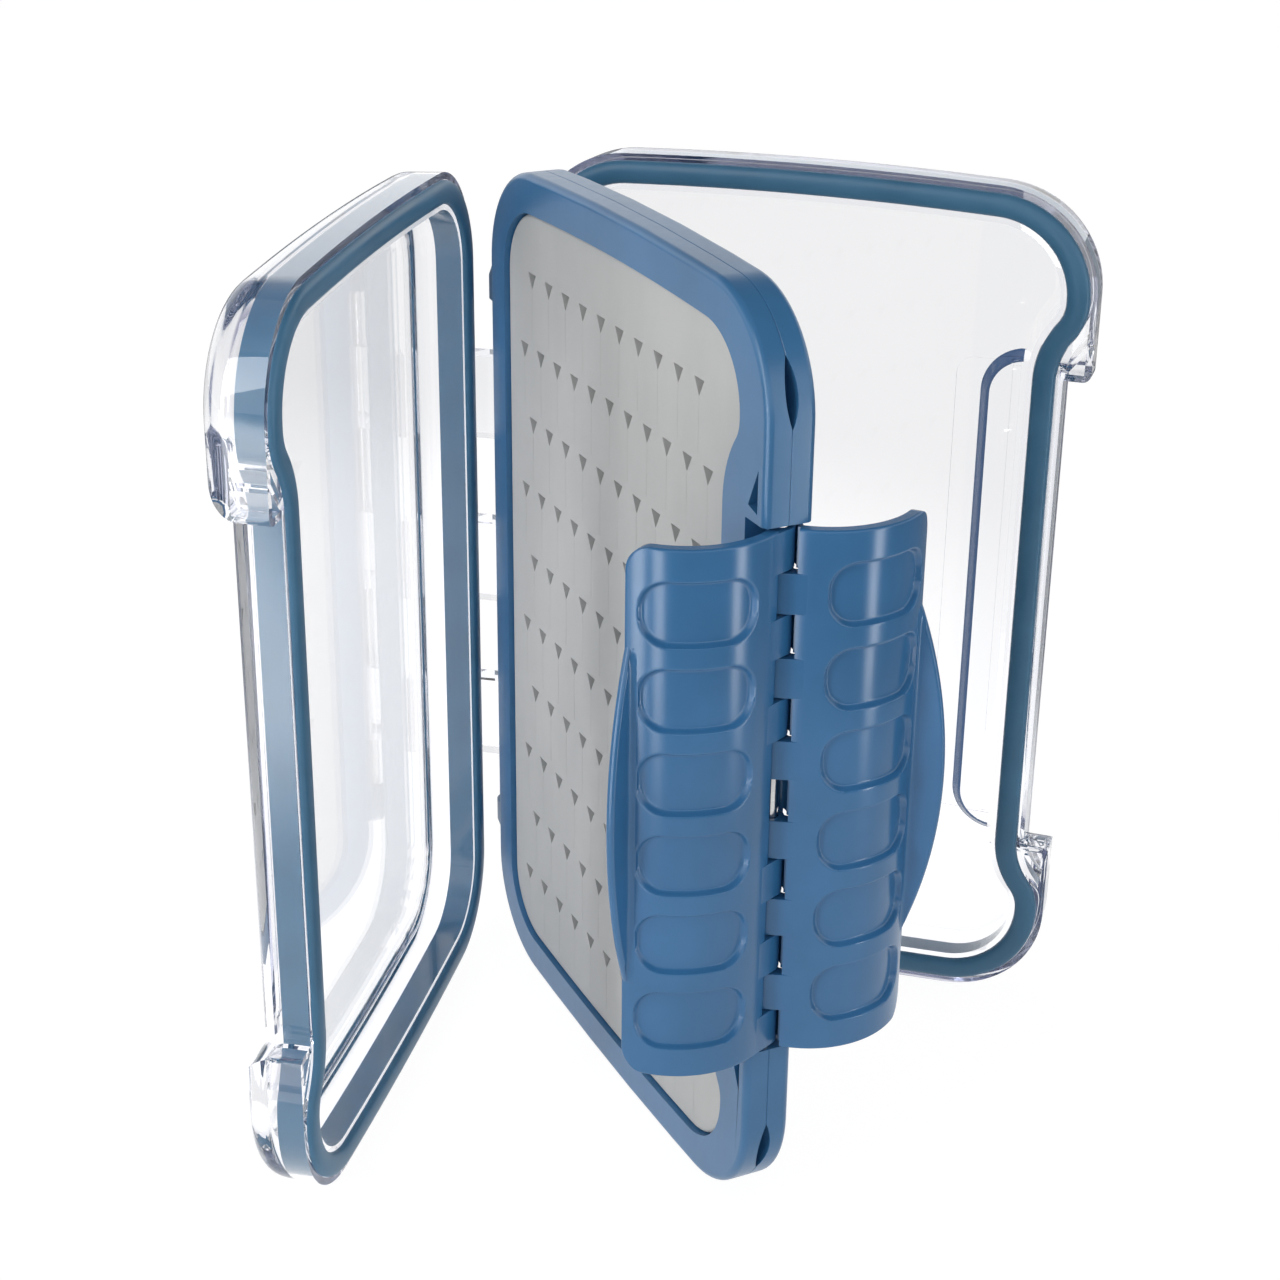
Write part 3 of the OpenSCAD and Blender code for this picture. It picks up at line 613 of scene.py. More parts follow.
def slots_tree(cutter, material):
    """Geometry nodes that cut the staggered rows of fly slots into a pad."""
    tree = bpy.data.node_groups.new("fly slots", "GeometryNodeTree")
    sockets = tree.interface
    sockets.new_socket("Pad", in_out="INPUT", socket_type="NodeSocketGeometry")
    for name, kind, value in (
            ("Slot pitch", "NodeSocketFloat", SLOT_PITCH * MM),
            ("Row pitch", "NodeSocketFloat", ROW_PITCH * MM),
            ("Slots in a long row", "NodeSocketInt", SLOTS_LONG),
            ("Rows", "NodeSocketInt", SLOT_ROWS),
            ("Middle", "NodeSocketVector", (0, 0, 0))):
        sockets.new_socket(name, in_out="INPUT", socket_type=kind).default_value = value
    sockets.new_socket("Cut pad", in_out="OUTPUT", socket_type="NodeSocketGeometry")
    result = tree.nodes.new("NodeGroupOutput")
    given = tree.nodes.new("NodeGroupInput").outputs
    row_pitch = given["Row pitch"]

    def step(operation, a, b=0.0):
        return maths(tree, operation, a, b)

    def made(kind, inputs):
        return add_node(tree, kind, inputs)

    # a grid at half the slot pitch, of which every second point stays, staggered by row
    half_pitch = step("MULTIPLY", given["Slot pitch"], 0.5)
    columns = step("SUBTRACT", step("MULTIPLY", given["Slots in a long row"], 2), 1)
    width = step("MULTIPLY", half_pitch, step("SUBTRACT", columns, 1))
    height = step("MULTIPLY", row_pitch, step("SUBTRACT", given["Rows"], 1))
    grid = made("GeometryNodeMeshGrid", {
        "Size X": width, "Size Y": height, "Vertices X": columns, "Vertices Y": given["Rows"]})
    place = tree.nodes.new("GeometryNodeInputPosition")
    parts = made("ShaderNodeSeparateXYZ", {"Vector": place.outputs["Position"]}).outputs
    from_left = step("ADD", parts["X"], step("MULTIPLY", width, 0.5))
    from_top = step("SUBTRACT", step("MULTIPLY", height, 0.5), parts["Y"])
    count = step("ADD", step("DIVIDE", from_left, half_pitch), step("DIVIDE", from_top, row_pitch))
    spare = step("LESS_THAN", step("MODULO", step("ROUND", count), 2), 0.5)
    thin = made("GeometryNodeDeleteGeometry", {"Geometry": grid.outputs["Mesh"], "Selection": spare})
    stand = made("GeometryNodeTransform", {
        "Geometry": thin.outputs["Geometry"], "Translation": given["Middle"],
        "Rotation": (math.radians(90), 0, 0)})
    tool = made("GeometryNodeObjectInfo", {"Object": cutter})
    copies = made("GeometryNodeInstanceOnPoints", {
        "Points": stand.outputs["Geometry"], "Instance": tool.outputs["Geometry"]})
    real = made("GeometryNodeRealizeInstances", {"Geometry": copies.outputs["Instances"]})
    carve = made("GeometryNodeMeshBoolean", {"Mesh 1": given["Pad"], "Mesh 2": real.outputs["Geometry"]})
    carve.operation, carve.solver = "DIFFERENCE", "EXACT"
    whole = made("GeometryNodeRealizeInstances", {"Geometry": carve.outputs["Mesh"]})
    paint = made("GeometryNodeSetMaterial", {
        "Geometry": whole.outputs["Geometry"], "Material": material})
    feed(tree, result, {"Cut pad": paint.outputs["Geometry"]})
    return tree


def pad(side, name):
    """A soft pad with a rounded edge and its rows of fly slots."""
    y0, top = HALF_T - PAD_SUNK - PAD_T, HALF_T - PAD_SUNK
    pairs = edge_round(y0, top, PAD_EDGE_R, 5, SEAL_IN + PAD_GAP)
    pairs[0] = (SEAL_IN + PAD_GAP, y0)
    piece = shell(name, [at_y(seal(d), y) for d, y in pairs])
    cutter = slot_cutter()
    change = piece.modifiers.new("fly slots", "NODES")
    change.node_group = slots_tree(cutter, PAD_RUBBER)
    names = {s.name: s.identifier for s in change.node_group.interface.items_tree
             if s.item_type == "SOCKET" and s.in_out == "INPUT"}
    mid_x = (LID_X0 + LID_X1 - WAIST_SHIFT) / 2 + SLOT_SHIFT - LEAF_W / 2
    change[names["Middle"]] = (mid_x * MM, top * MM, (MID_Z + SLOT_RISE) * MM)
    worked_in(piece)
    bpy.data.objects.remove(cutter)
    return smooth(to_side(piece, side))


# Lids
def lid_outer():
    """The lid's block, before anything is cut from it."""
    pairs = edge_round(LID_Y, LID_TOP, LID_EDGE_R, 9, LID_DRAFT)
    return shell("lid", [at_y(slab(LID_X0, LID_X1, LID_INSET, LEAF_H - LID_INSET, d), y)
                         for d, y in pairs])


def lid_hollow():
    """The room inside a lid."""
    pairs = edge_round(LID_Y - 2, LID_TOP - PANEL_T, FILLET_R, 6, SEAL_IN)
    pairs[0] = (SEAL_IN - 0.05, LID_Y - 2)
    return shell("hollow", [at_y(seal(d), y) for d, y in pairs])


def both_ends(make):
    """The same tool at the lower and the upper latch block."""
    return [make(False), make(True)]


def at_end(outline, upper, z=1):
    """Turns an outline over for the upper block; z is its column that runs along the leaf."""
    if not upper:
        return outline
    turned = outline[::-1].copy()
    turned[:, z] = LEAF_H - turned[:, z]
    return turned


def block_end(upper):
    """What stays of a latch block, whose outer face rolls down into the latch zone."""
    roll_y, z0 = LID_TOP - BLOCK_ROLL, BLOCK_END - BLOCK_ROLL
    outline = np.vstack([[[-3, BLOCK_END], [-3, z0 - 3], [LID_TOP, z0 - 3]],
                         arc(roll_y, z0, BLOCK_ROLL, 0, 90, 24)])
    return prism_x("block end", at_end(outline, upper), 0, 2 * LEAF_W)


def block_corner(upper):
    """Rounds the upright edge of a latch block."""
    r, x = BLOCK_EDGE_R, LID_X1
    outline = np.vstack([[[x + 2, BLOCK_END + 2], [x - r, BLOCK_END + 2]],
                         arc(x - r, BLOCK_END - r, r, 90, 0, 8), [[x + 2, BLOCK_END - r]]])
    return prism_y("block corner", at_end(outline, upper), -2, LID_TOP + 3)


def latch_space():
    """The room that a shut latch needs, out to where the blocks' outer faces roll down."""
    edge_x, z0 = LID_X1 - WAIST_SHIFT, BLOCK_END - BLOCK_ROLL
    start = math.degrees(math.acos((edge_x - SEAT_X) / SEAT_R))
    outline = np.vstack([
        [[edge_x, -1]], arc(SEAT_X, SEAT_Y, SEAT_R, start, 89.2, 30),
        [[SEAT_X + 0.18, LID_TOP + 5], [LEAF_W + FAR, LID_TOP + 5], [LEAF_W + FAR, -1]]])
    space = prism_z("latch space", outline, z0, LEAF_H - z0)
    return cut(space, *both_ends(block_end))


def block_web(upper):
    """Thin web across the pocket of a latch block, as it is left standing."""
    x, z = LID_X1 - WAIST_SHIFT, BLOCK_END - RIM_WALL
    along = np.array([WAIST_SHIFT, -1.3 * WAIST_SHIFT])
    along /= np.linalg.norm(along)
    across = np.array([-along[1], along[0]]) * BLOCK_WEB / 2
    a, b = np.array([x, z]) - along, np.array([x, z]) + along * 3 * WAIST_SHIFT
    outline = np.array([a - across, b - across, b + across, a + across])
    return prism_y("web", at_end(outline, upper), 0, LEAF_T * 3)


def block_pockets():
    """Three cornered pockets in the rim side of the latch blocks."""
    end = BLOCK_END - RIM_WALL
    outer = slab(LID_X0, LID_X1, LID_INSET, LEAF_H - LID_INSET, RIM_WALL)
    pockets = prism_y("pockets", outer, LID_Y - 1, LID_Y + BLOCK_POCKET_D)
    between = np.array([[-5, end], [2 * LEAF_W, end], [2 * LEAF_W, LEAF_H - end],
                        [-5, LEAF_H - end]])
    return cut(pockets, prism_y("inside", seal(0), LID_Y - 2, LID_Y + 9),
               prism_y("between", between, LID_Y - 2, LID_Y + 9), *both_ends(block_web))


def finger_relief():
    """Shallow relief in the outer panel that lets a fingertip under the thumb lip."""
    z0, z1 = BLOCK_END + RELIEF_END, LEAF_H - BLOCK_END - RELIEF_END
    outline = rounded_box(SEAT_X - RELIEF_W, LEAF_W, z0, z1, RELIEF_R)
    return prism_y("relief", outline, LID_TOP - RELIEF_D, LID_TOP + 2)


def seat_line():
    """Fine step in the outer face along the top of the seat."""
    z0, z1 = BLOCK_END + LINE_END, LEAF_H - BLOCK_END - LINE_END
    outline = np.array([[SEAT_X, z0], [SEAT_X + LINE_W, z0], [SEAT_X + LINE_W, z1], [SEAT_X, z1]])
    return prism_y("line", outline, LID_TOP - RELIEF_D - LINE_D, LID_TOP + 2)


def gasket_groove():
    """The groove round the rim that holds the gasket."""
    a, b, y0, y1 = RIM_WALL, RIM_WALL + GROOVE_W, LID_Y - 2, LID_Y + GROOVE_D
    section = [(a, y1), (b, y1), (b, y0), (a, y0)]
    return shell("groove", [at_y(seal(d), y) for d, y in section], around=True)


def seat_land():
    """D shaped land inside a lid, which backs the latch's seat, with a round edge and a coved foot."""
    outline = land_outline()
    y0, r, foot = LID_TOP - 2 * PANEL_T, LAND_EDGE_R, LAND_FOOT
    rings = [at_y(inset(outline, d), y) for d, y in (
        (foot + r, y0), (foot + 0.62 * r, y0 + 0.08), (foot + 0.3 * r, y0 + 0.3 * r),
        (0.45 * foot, LID_TOP - PANEL_T - 0.5), (0.12 * foot, LID_TOP - PANEL_T - 0.16),
        (-0.1, LID_TOP - PANEL_T + 0.05), (-0.1, LID_TOP - 0.8))]
    return shell("land", rings)


def knuckle_arm(z, length):
    """A lid knuckle on its arm, which goes round the leaf's edge from the lid's wall."""
    root_y, face = LID_Y + ARM_RISE, KNUCKLE_R - 0.02
    outline = np.vstack([
        arc(HINGE_X, 0, KNUCKLE_R, 180, 360, 24),
        [[HINGE_X + face, LID_Y - 0.2], [LID_X0 + 0.9, LID_Y + 0.15], [LID_X0 + 0.9, root_y],
         [LID_X0 + 0.05, root_y]],
        arc(HINGE_X - KNUCKLE_R + ARM_R, LID_Y + 1.2, ARM_R, 120, 180, 5)])
    return prism_z("arm", outline, z, z + length)


def front_knuckles():
    """Where the front lid's three knuckles start, and their lengths."""
    return [(MID_Z + i * 2 * KNUCKLE_PITCH - KNUCKLE_L / 2, KNUCKLE_L) for i in (-1, 0, 1)]


def back_knuckles():
    """The same for the back lid: two between those of the front lid, and one at each end."""
    between = 2 * KNUCKLE_PITCH - KNUCKLE_L - 2 * KNUCKLE_GAP
    end = KNUCKLE_ROW / 2 - 2 * KNUCKLE_PITCH - KNUCKLE_L / 2 - KNUCKLE_GAP
    places = [(MID_Z + i * KNUCKLE_PITCH - between / 2, between) for i in (-1, 1)]
    return places + [(MID_Z - KNUCKLE_ROW / 2, end), (MID_Z + KNUCKLE_ROW / 2 - end, end)]


def paint_edge_shade(piece):
    """Marks the faces that get painted shade in clear plastic: the land's edge, and the rim's face
    towards the hinge.
    """
    mesh = piece.data
    parts = bmesh.new()
    parts.from_mesh(mesh)
    for z in (BLOCK_END, LEAF_H - BLOCK_END):
        bmesh.ops.bisect_plane(parts, geom=[*parts.verts, *parts.edges, *parts.faces], dist=1e-7,
                               plane_co=(0, 0, z * MM), plane_no=(0, 0, 1))
    parts.to_mesh(mesh)
    parts.free()
    at = np.array([f.center[:] for f in mesh.polygons]) / MM + [LEAF_W / 2, 0, 0]
    level = np.array([abs(f.normal.y) for f in mesh.polygons])
    x, y, _ = at.T
    outer = slab(LID_X0, LID_X1, LID_INSET, LEAF_H - LID_INSET)
    edge = away_from(at[:, ::2], land_outline()[1:]) < PAINTED_SHADE_REACH
    edge &= (y > LID_TOP - 2 * PANEL_T + 0.02) & (y < LID_TOP - PANEL_T + 0.1) & (level < 0.98)
    edge &= x < LID_X1 - WAIST_SHIFT - SEAL_IN - PAINTED_SHADE_SHORT
    corners = np.array([v.co[:] for v in mesh.vertices]) / MM + [LEAF_W / 2, 0, 0]
    away = away_from(corners[:, ::2], outer)
    nearest = np.array([away[list(f.vertices)].min() for f in mesh.polygons])
    rim = (nearest < 0.1) & (abs(y - LID_Y) < 0.05) & (level > 0.97) & (x < RIM_PAINTED_SHADE_X1)
    # Painted shade: full on the land's edge, a lighter share on the rim's face towards the hinge
    tint = mesh.attributes.new(PAINTED_SHADE_ATTRIBUTE, "FLOAT", "FACE")
    tint.data.foreach_set("value", np.select([edge, rim], [1.0, RIM_PAINTED_SHADE], 0.0).astype(np.float32))
    return piece


def lid(side, name, knuckles, angle):
    """A clear lid: a tray with a gasket groove, a waist and seat for the latch, and knuckles."""
    piece = cut(lid_outer(), lid_hollow())
    weld(piece, seat_land())
    cut(piece, latch_space(), *both_ends(block_corner), block_pockets(), finger_relief(),
        seat_line(), gasket_groove())
    for z, length in knuckles:
        weld(piece, knuckle_arm(z, length))
    cut(piece, rod("bore", HINGE_X, 0, HINGE_PIN_R + PIN_PLAY, 0, LEAF_H))
    # Marks the faces that get painted shade
    paint_edge_shade(soften(piece, LID_SOFT, 2, 45))
    piece.name = piece.data.name = name
    return swing(smooth(to_side(piece, side), 34), HINGE_X, side, angle)


def gasket(side, name, angle):
    """The soft ring in a lid's groove, with a crowned sealing face."""
    a, b = RIM_WALL + GASKET_GAP, RIM_WALL + GROOVE_W - GASKET_GAP
    top, base = HALF_T + SEAL_GAP, LID_Y + GROOVE_D
    mid, half = (a + b) / 2, (b - a) / 2
    crown = [(mid + half * math.cos(t), LID_Y - 0.1 - (LID_Y - 0.1 - top) * math.sin(t) ** 0.8)
             for t in np.linspace(0, math.pi, 17)]
    section = [(a, base), (b, base), *crown]
    piece = shell(name, [at_y(seal(d), y) for d, y in section], around=True)
    return swing(smooth(to_side(piece, side), 50, False), HINGE_X, side, angle)


# Latches
def plate_point(s, out):
    """X and Y on the latch plate: s along its outer curve from the free edge, out from that curve."""
    radius = LATCH_R + out
    a = np.pi / 2 - np.maximum(s - LATCH_FLAT, 0) / LATCH_R
    x = SEAT_X - LATCH_FLAT + np.minimum(s, LATCH_FLAT) + radius * np.cos(a)
    return x, SEAT_Y + radius * np.sin(a)


def recess_profile():
    """Depth against the distance inside a recess's outline: round rim, steep wall, filleted floor."""
    slope = math.radians(WALL_SLOPE)
    t = np.linspace(0, slope, 8)
    rim = np.column_stack([RIM_R * np.sin(t), RIM_R * (1 - np.cos(t))])
    drop = RECESS_D - (RIM_R + FLOOR_R) * (1 - math.cos(slope))
    wall = rim[-1] + [drop / math.tan(slope), drop]
    floor = wall + np.column_stack([
        FLOOR_R * (math.sin(slope) - np.sin(t[::-1])), FLOOR_R * (np.cos(t[::-1]) - math.cos(slope))])
    return np.vstack([rim, floor])


def recess_depth(s, z, profile):
    """How far the plate's outer face lies below its plain curve at each point."""
    pitch = (LATCH_L - 2 * RECESS_END) / RECESS_COUNT
    middle = LATCH_FLAT + LATCH_R * math.radians(90 - RECESS_DIRECTION)
    half_s, half_z = RECESS_W / 2, (pitch - RECESS_RIB) / 2
    depth = np.zeros_like(s)
    for i in range(RECESS_COUNT):
        centre = MID_Z + (i - (RECESS_COUNT - 1) / 2) * pitch
        ds = np.abs(s - middle) - (half_s - RECESS_R)
        dz = np.abs(z - centre) - (half_z - RECESS_R)
        gap = np.hypot(np.maximum(ds, 0), np.maximum(dz, 0)) + np.minimum(np.maximum(ds, dz), 0)
        inside = RECESS_R - gap
        depth = np.maximum(depth, np.interp(inside, profile[:, 0], profile[:, 1], left=0))
    return depth


def latch_plate(name):
    """The curved plate as a fine grid, with soft edges, round free corners and finger recesses."""
    root = LATCH_FLAT + LATCH_R * math.radians(90 - PLATE_END)
    edge, half_t = PLATE_EDGE_R, LATCH_T / 2
    profile = recess_profile()
    turn = np.linspace(0, np.pi / 2, 5)
    zs = np.concatenate([LATCH_Z0 + edge * (1 - np.sin(turn[::-1][:-1])),
                         np.linspace(LATCH_Z0 + edge, LATCH_Z1 - edge, PLATE_ROWS),
                         LATCH_Z1 - edge * (1 - np.sin(turn[1:]))])
    rings = []
    for z in zs:
        near = min(z - LATCH_Z0, LATCH_Z1 - z)
        thin = edge - math.sqrt(max(edge ** 2 - max(edge - near, 0) ** 2, 0))
        back = FREE_R - math.sqrt(max(FREE_R ** 2 - max(FREE_R - near, 0) ** 2, 0))
        s = np.linspace(back + edge, root, PLATE_COLUMNS)
        outer = plate_point(s, -recess_depth(s, np.full_like(s, z), profile) - thin)
        t = np.linspace(np.pi / 2, -np.pi / 2, 9)[1:-1]
        corner = np.sign(np.sin(t)) * (half_t - edge) + (edge - thin) * np.sin(t)
        free_edge = plate_point(back + edge - edge * np.cos(t), -half_t + corner)
        s_in = np.linspace(back + edge, root, 40)
        inner = plate_point(s_in, np.full_like(s_in, -LATCH_T + thin))
        rings.append(at_z(np.vstack([np.column_stack(outer)[::-1], np.column_stack(free_edge),
                                     np.column_stack(inner)]), z))
    return shell(name, rings)


def thumb_lip():
    """Thin bowed wall that stands out along the middle of the free edge, with a round crown."""
    half_l, r = LATCH_L / 2 - LIP_END, LIP_CROWN_R
    bow_r = (half_l ** 2 + LIP_H ** 2) / (2 * LIP_H)
    x0, x1 = SEAT_X - LATCH_FLAT, SEAT_X - LATCH_FLAT + LIP_T
    middle, face = (x0 + x1) / 2, SEAT_Y + LATCH_R
    foot = face - LIP_SUNK
    reach = math.sqrt(bow_r ** 2 - (bow_r - LIP_H - LIP_ROOT) ** 2)
    valley = np.array([[x1, face + 0.9], [x1 + 0.12, face + 0.4], [x1 + 0.45, face + 0.08],
                       [x1 + 1.0, face - 0.1], [x1 + 1.0, foot], [x0, foot]])
    rings = []
    for z in np.linspace(-reach, reach, 61):
        top = face + LIP_H - bow_r + math.sqrt(bow_r ** 2 - z * z)
        crown = arc(middle, top - r, r, 180, 0, 8)
        crown[:, 0] = middle + (crown[:, 0] - middle) * LIP_T / (2 * r)
        ring = np.vstack([crown, valley])
        ring[:, 1] = np.maximum(np.minimum(ring[:, 1], top), foot)
        rings.append(at_z(ring[::-1], MID_Z + z))
    return shell("thumb lip", rings)


def knuckle_outline():
    """A knuckle with its root, which leaves the plate's curve as a tangent."""
    r, out, into = LATCH_KNUCKLE_R, LATCH_R - 0.06, LATCH_R - LATCH_T + 0.06
    toward = math.degrees(math.atan2(-SEAT_Y, LATCH_CX))
    lean = toward + math.degrees(math.acos((out - r) / LATCH_REACH))
    swing_in = math.degrees(math.acos((into ** 2 + LATCH_REACH ** 2 - r ** 2)
                                      / (2 * into * LATCH_REACH)))
    meet = np.radians(toward + swing_in)
    at = np.array([into * np.cos(meet) - LATCH_CX, into * np.sin(meet) + SEAT_Y])
    start = math.degrees(math.atan2(at[1], at[0]))
    barrel = arc(LATCH_CX, -SEAT_Y, r, start, lean + 360, 36)
    outline = np.vstack([barrel, arc(0, 0, out, lean, lean + 3, 2),
                         arc(0, 0, into, lean + 3, toward + swing_in, 6)[:-1]])
    return outline + [SEAT_X, SEAT_Y]


def place_span(place):
    """The lower and the upper end of one of the places along the latch pin."""
    z0 = LATCH_Z0 + place * PLACE_L + PLACE_GAP
    return z0, z0 + PLACE_L - 2 * PLACE_GAP


def latch_knuckle(place):
    """One knuckle on the latch pin with the root that joins it to the plate."""
    z0, z1 = place_span(place)
    knuckle = prism_z("knuckle", knuckle_outline(), z0, z1)
    cut(knuckle, rod("bore", LATCH_X, 0, LATCH_PIN_R + PIN_PLAY, z0 - 1, z1 + 1))
    return soften(knuckle, KNUCKLE_SOFT)


def knuckle_cup(place):
    """Hollow of the plate's root round a knuckle of the other latch."""
    outline = np.vstack([arc(LATCH_X, 0, CUP_OUT, CUP_START, CUP_END, 16),
                         arc(LATCH_X, 0, CUP_IN, CUP_END, CUP_START, 16)])
    return soften(prism_z("cup", outline, *place_span(place)), CUP_SOFT)


def latch(side, name, places, others, angle):
    """A snap latch: plate, thumb lip, its share of the knuckles and cups for the other's."""
    piece = joined(name, [latch_plate(name), thumb_lip(), *[latch_knuckle(p) for p in places],
                          *[knuckle_cup(p) for p in others]])
    return swing(smooth(to_side(piece, side), 38), LATCH_X, -side, angle)


# Assembly
finished(leaf_half(-1, "front_frame_shell"), "leaf", "blue_plastic", LEAF_PLASTIC, "front_frame")
finished(leaf_half(1, "back_frame_shell"), "leaf", "blue_plastic", LEAF_PLASTIC, "back_frame")
for side, name in ((-1, "front_pad"), (1, "back_pad")):
    soft = finished(pad(side, name + "_soft"), "leaf", "grey_pad", PAD_RUBBER, name)
for name, x, r, z0, z1, node in (
        ("hinge_rod", HINGE_X, HINGE_PIN_R, LUG_Z0, LUG_Z1, "hinge_pin"),
        ("latch_rod", LATCH_X, LATCH_PIN_R, LATCH_Z0, LATCH_Z1, "latch_pin")):
    pin = rod(name, x, 0, r, z0 - PIN_IN + PIN_SHORT, z1 + PIN_IN - PIN_SHORT, PIN_CHAMFER)
    finished(smooth(pin, 60, False), "leaf", "pin_steel", PIN_STEEL, node)
finished(lid(-1, "front_lid_clear", front_knuckles(), FRONT_LID_OPEN),
         "front_cover", "clear_plastic", CLEAR_PLASTIC, "front_lid")
finished(gasket(-1, "front_gasket_ring", FRONT_LID_OPEN),
         "front_cover", "gasket_rubber", GASKET_RUBBER, "front_gasket")
finished(lid(1, "back_lid_clear", back_knuckles(), BACK_LID_OPEN),
         "back_cover", "clear_plastic", CLEAR_PLASTIC, "back_lid")
finished(gasket(1, "back_gasket_ring", BACK_LID_OPEN),
         "back_cover", "gasket_rubber", GASKET_RUBBER, "back_gasket")
finished(latch(-1, "front_latch_plate", FRONT_PLACES, (*BACK_PLACES, MIDDLE_PLACE),
               FRONT_LATCH_OPEN),
         "front_snap", "latch_plastic", LATCH_PLASTIC, "front_latch")
finished(latch(1, "back_latch_plate", BACK_PLACES, (*FRONT_PLACES, MIDDLE_PLACE),
               BACK_LATCH_OPEN),
         "back_snap", "latch_plastic", LATCH_PLASTIC, "back_latch")


# Studio
# Places are in metres, and the bands' middles and half widths in degrees about the latches' spot
WORLD_LIGHT, LIGHT_TOP, LIGHT_FADE = 1.0, (0.14, 0.14, 0.14), (0.4, 0.7)
FLOOR_WHITE, FLOOR_SHARE, FLOOR_SIZE = 1.10, 0.86, 6.0
THROUGH_SPOT, THROUGH_NEAR, THROUGH_GAIN = (-0.12, -0.08), (0.17, 0.34), (0.16, -0.08)
THROUGH_FADE, THROUGH_TOP = (0.45, 0.95), (0.36, 0.36, 0.50)
LATCH_SPOT = (0.048, 0.0)
GLOSS_BANDS = ((104.0, 10.0), (125.0, 7.5), (216.0, 7.5))
GLOSS_BAND, GLOSS_DIM, GLOSS_HAZE, GLOSS_NEAR = 6.5, 0.25, 1.0, (0.155, 0.25)
GLOSS_ROUND, GLOSS_FADE, OVERHEAD = 1.4, (0.35, 0.6), (0.06, 0.065, 0.09)
MIDDLE, BOUNCES = (0, 0, 0.08), 64


def levels(tree, value, points):
    """Smooth steps between (position, level) points, as a plain number."""
    top = max(level for _, level in points)
    steps = add_node(tree, "ShaderNodeValToRGB", {"Fac": value})
    stops = steps.color_ramp
    stops.interpolation = "EASE"
    while len(stops.elements) < len(points):
        stops.elements.new(1.0)
    for element, (position, level) in zip(stops.elements, points):
        element.position = position
        element.color = (level / top, level / top, level / top, 1)
    return maths(tree, "MULTIPLY", steps.outputs["Color"], top)


def from_spot(tree, place, spot):
    """The place and the distance as seen from a spot on the floor."""
    around = add_node(tree, "ShaderNodeMapping", {
        "Vector": place, "Location": (-spot[0], -spot[1], 0)}).outputs["Vector"]
    away = add_node(tree, "ShaderNodeVectorMath", {0: around})
    away.operation = "LENGTH"
    return around, away.outputs["Value"]


def seen_floor(tree, shader, place, path):
    """White as the photograph's ground, with a shadow, and of another level through clear plastic."""
    away = from_spot(tree, place, THROUGH_SPOT)[1]
    gain = fade(tree, away, *THROUGH_NEAR, *THROUGH_GAIN)
    gain = maths(tree, "MULTIPLY", path["Is Transmission Ray"], gain)
    white = add_node(tree, "ShaderNodeEmission", {
        "Color": (1, 1, 1, 1), "Strength": maths(tree, "ADD", FLOOR_WHITE, gain)})
    seen = maths(tree, "MAXIMUM", path["Is Camera Ray"], path["Is Transmission Ray"])
    share = maths(tree, "MULTIPLY", seen, FLOOR_SHARE)
    return mixed(tree, share, shader.outputs["BSDF"], white.outputs["Emission"])


def mirrored_floor(tree, place):
    """The floor as gloss sees it: an even haze near the latches, and bright bands farther out."""
    around, away = from_spot(tree, place, LATCH_SPOT)
    turn = add_node(tree, "ShaderNodeTexGradient", {"Vector": around})
    turn.gradient_type = "RADIAL"
    points = [(0.0, GLOSS_DIM)]
    for middle, half in GLOSS_BANDS:
        points += [(middle - half, GLOSS_DIM), (middle - half * 0.4, GLOSS_BAND),
                   (middle + half * 0.4, GLOSS_BAND), (middle + half, GLOSS_DIM)]
    points.append((360.0, GLOSS_DIM))
    bands = levels(tree, turn.outputs["Fac"], [(a / 360, v) for a, v in points])
    strength = add_node(tree, "ShaderNodeMix", {
        "Factor": fade(tree, away, *GLOSS_NEAR), "A": GLOSS_HAZE, "B": bands})
    return add_node(tree, "ShaderNodeEmission", {
        "Color": (1, 1, 1, 1), "Strength": strength.outputs["Result"]}).outputs["Emission"]


def floor_material():
    """White floor with a shadow; gloss sees it lit in bands, as by long soft boxes."""
    mat, tree, shader, place = new_material("studio white")
    feed(tree, shader, {"Base Color": (0.9, 0.9, 0.9, 1), "Roughness": 0.9})
    path = tree.nodes.new("ShaderNodeLightPath").outputs
    seen = seen_floor(tree, shader, place, path)
    not_through = maths(tree, "SUBTRACT", 1.0, path["Is Transmission Ray"])
    share = maths(tree, "MULTIPLY", path["Is Glossy Ray"], not_through)
    look = mixed(tree, share, seen, mirrored_floor(tree, place))
    feed(tree, node_of(tree, "OUTPUT_MATERIAL"), {"Surface": look})
    return mat


def studio_floor():
    """The plain floor under the box."""
    size = FLOOR_SIZE
    mesh = bpy.data.meshes.new("floor")
    mesh.from_pydata([(-size, -size, 0), (size, -size, 0), (size, size, 0), (-size, size, 0)], [],
                     [(0, 1, 2, 3)])
    mesh.materials.append(floor_material())
    floor = bpy.data.objects.new("floor", mesh)
    bpy.context.scene.collection.objects.link(floor)


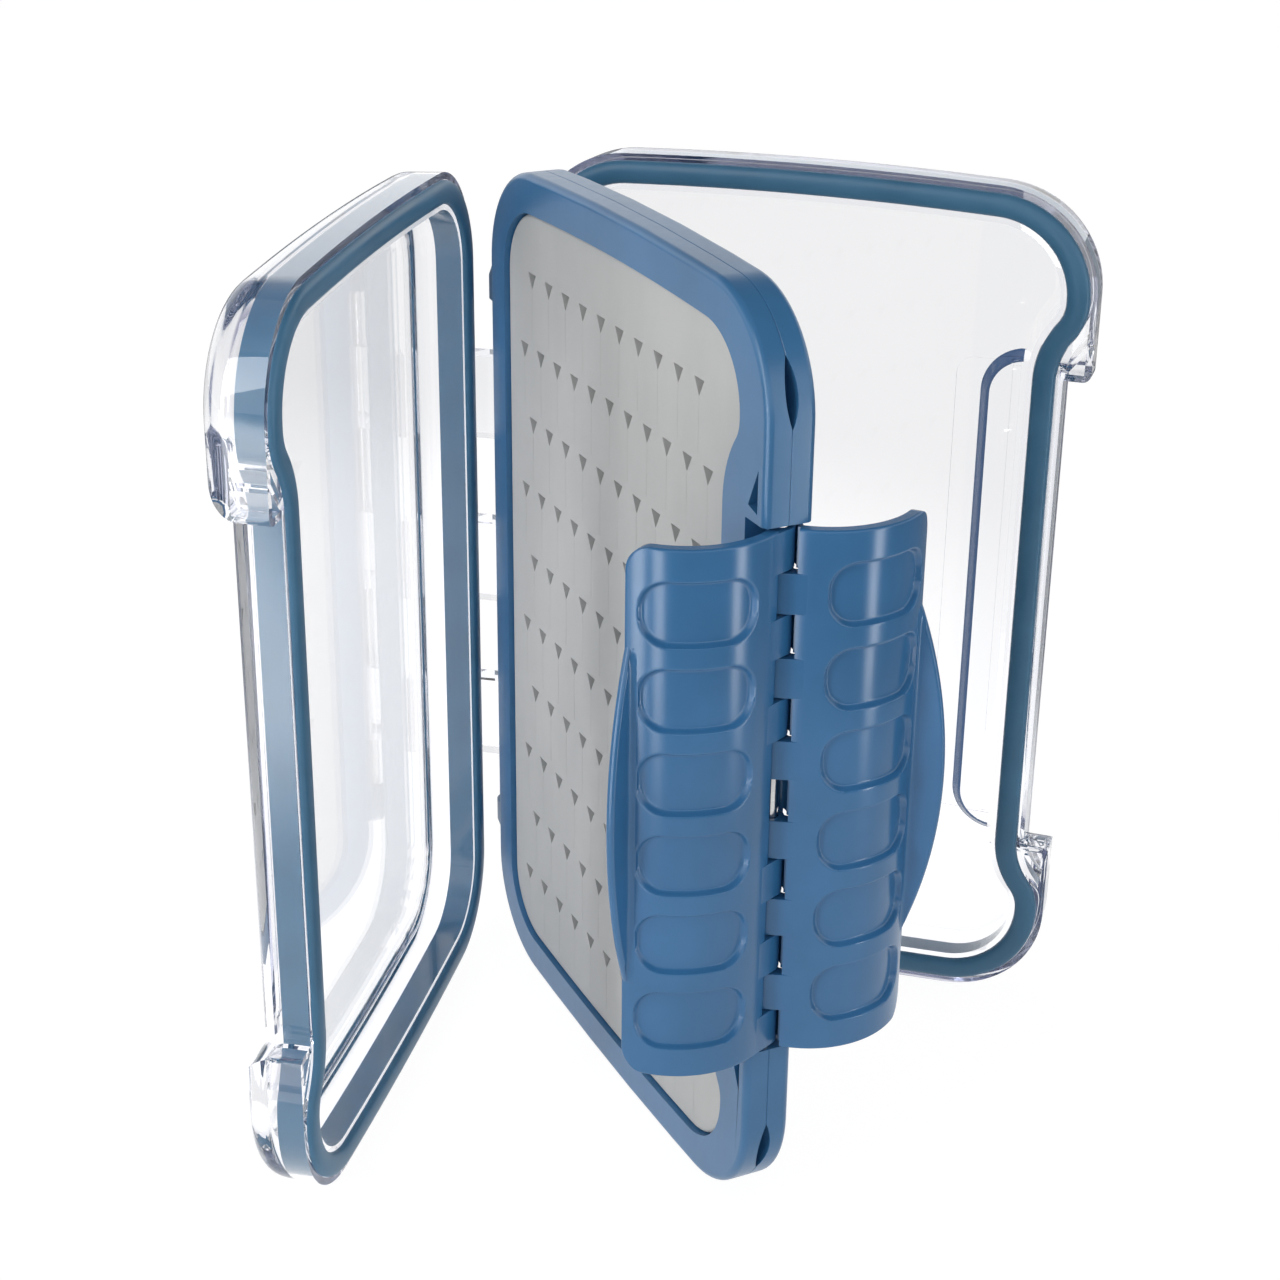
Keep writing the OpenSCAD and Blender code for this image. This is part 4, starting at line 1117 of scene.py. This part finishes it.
def studio_world():
    """Plain soft light from all round, over a white surround that is dark only high overhead."""
    world = bpy.data.worlds.new("studio")
    world.use_nodes = True
    tree = world.node_tree
    direction = add_node(tree, "ShaderNodeSeparateXYZ", {
        "Vector": tree.nodes.new("ShaderNodeTexCoord").outputs["Generated"]})
    height = direction.outputs["Z"]

    def sky(node, strength, overhead, between):
        colour = ramp(tree, height, (1, 1, 1), overhead, between)
        return feed(tree, node, {"Color": colour, "Strength": strength}).outputs["Background"]

    def background():
        return tree.nodes.new("ShaderNodeBackground")

    shown = sky(tree.nodes["Background"], WORLD_LIGHT, LIGHT_TOP, LIGHT_FADE)
    mirrored = sky(background(), GLOSS_ROUND, OVERHEAD, GLOSS_FADE)
    through = sky(background(), 1.0 + THROUGH_GAIN[1], THROUGH_TOP, THROUGH_FADE)
    white = feed(tree, background(), {"Color": (1, 1, 1, 1), "Strength": 1.0})
    path = tree.nodes.new("ShaderNodeLightPath").outputs
    for ray, look in (("Is Glossy Ray", mirrored), ("Is Transmission Ray", through),
                      ("Is Camera Ray", white.outputs["Background"])):
        shown = mixed(tree, path[ray], shown, look)
    feed(tree, tree.nodes["World Output"], {"Surface": shown})
    bpy.context.scene.world = world


def soft_box(name, place, target, width, height, watts, mirrored=True):
    """A rectangular soft box that looks at a target."""
    data = bpy.data.lights.new(name, "AREA")
    data.shape, data.size, data.size_y, data.energy = "RECTANGLE", width, height, watts
    lamp = bpy.data.objects.new(name, data)
    lamp.location = place
    lamp.visible_glossy = mirrored
    lamp.rotation_euler = (Vector(target) - Vector(place)).to_track_quat("-Z", "Y").to_euler()
    bpy.context.scene.collection.objects.link(lamp)


def photo_camera():
    """The photograph's viewpoint, solved from the box's own corners, pins and rows of slots."""
    place = Vector((321.5, -152.6, 239.8)) * MM
    ahead = Vector((-0.82448, 0.39464, -0.40557)).normalized()
    right = Vector((0.42763, 0.90389, 0.01021))
    right = (right - ahead * right.dot(ahead)).normalized()
    up = right.cross(ahead)
    data = bpy.data.cameras.new("photo camera")
    data.sensor_width, data.lens = 36.0, 66.65
    data.clip_start = 0.01
    camera = bpy.data.objects.new("photo camera", data)
    turn = Matrix((right, up, -ahead)).transposed().to_4x4()
    camera.matrix_world = Matrix.Translation(place) @ turn
    bpy.context.scene.collection.objects.link(camera)
    bpy.context.scene.camera = camera


studio_floor()
studio_world()
soft_box("top box", (0.1, -0.1, 0.95), MIDDLE, 0.9, 0.9, 1.2, False)
soft_box("left strip", (0.25, -0.75, 0.35), MIDDLE, 0.12, 0.8, 2.0)
soft_box("right strip", (0.75, 0.35, 0.30), MIDDLE, 0.12, 0.8, 0.3)
photo_camera()
for limit in ("max_bounces", "transmission_bounces", "glossy_bounces"):
    setattr(bpy.context.scene.cycles, limit, BOUNCES)
bpy.context.scene.view_settings.view_transform = "Standard"
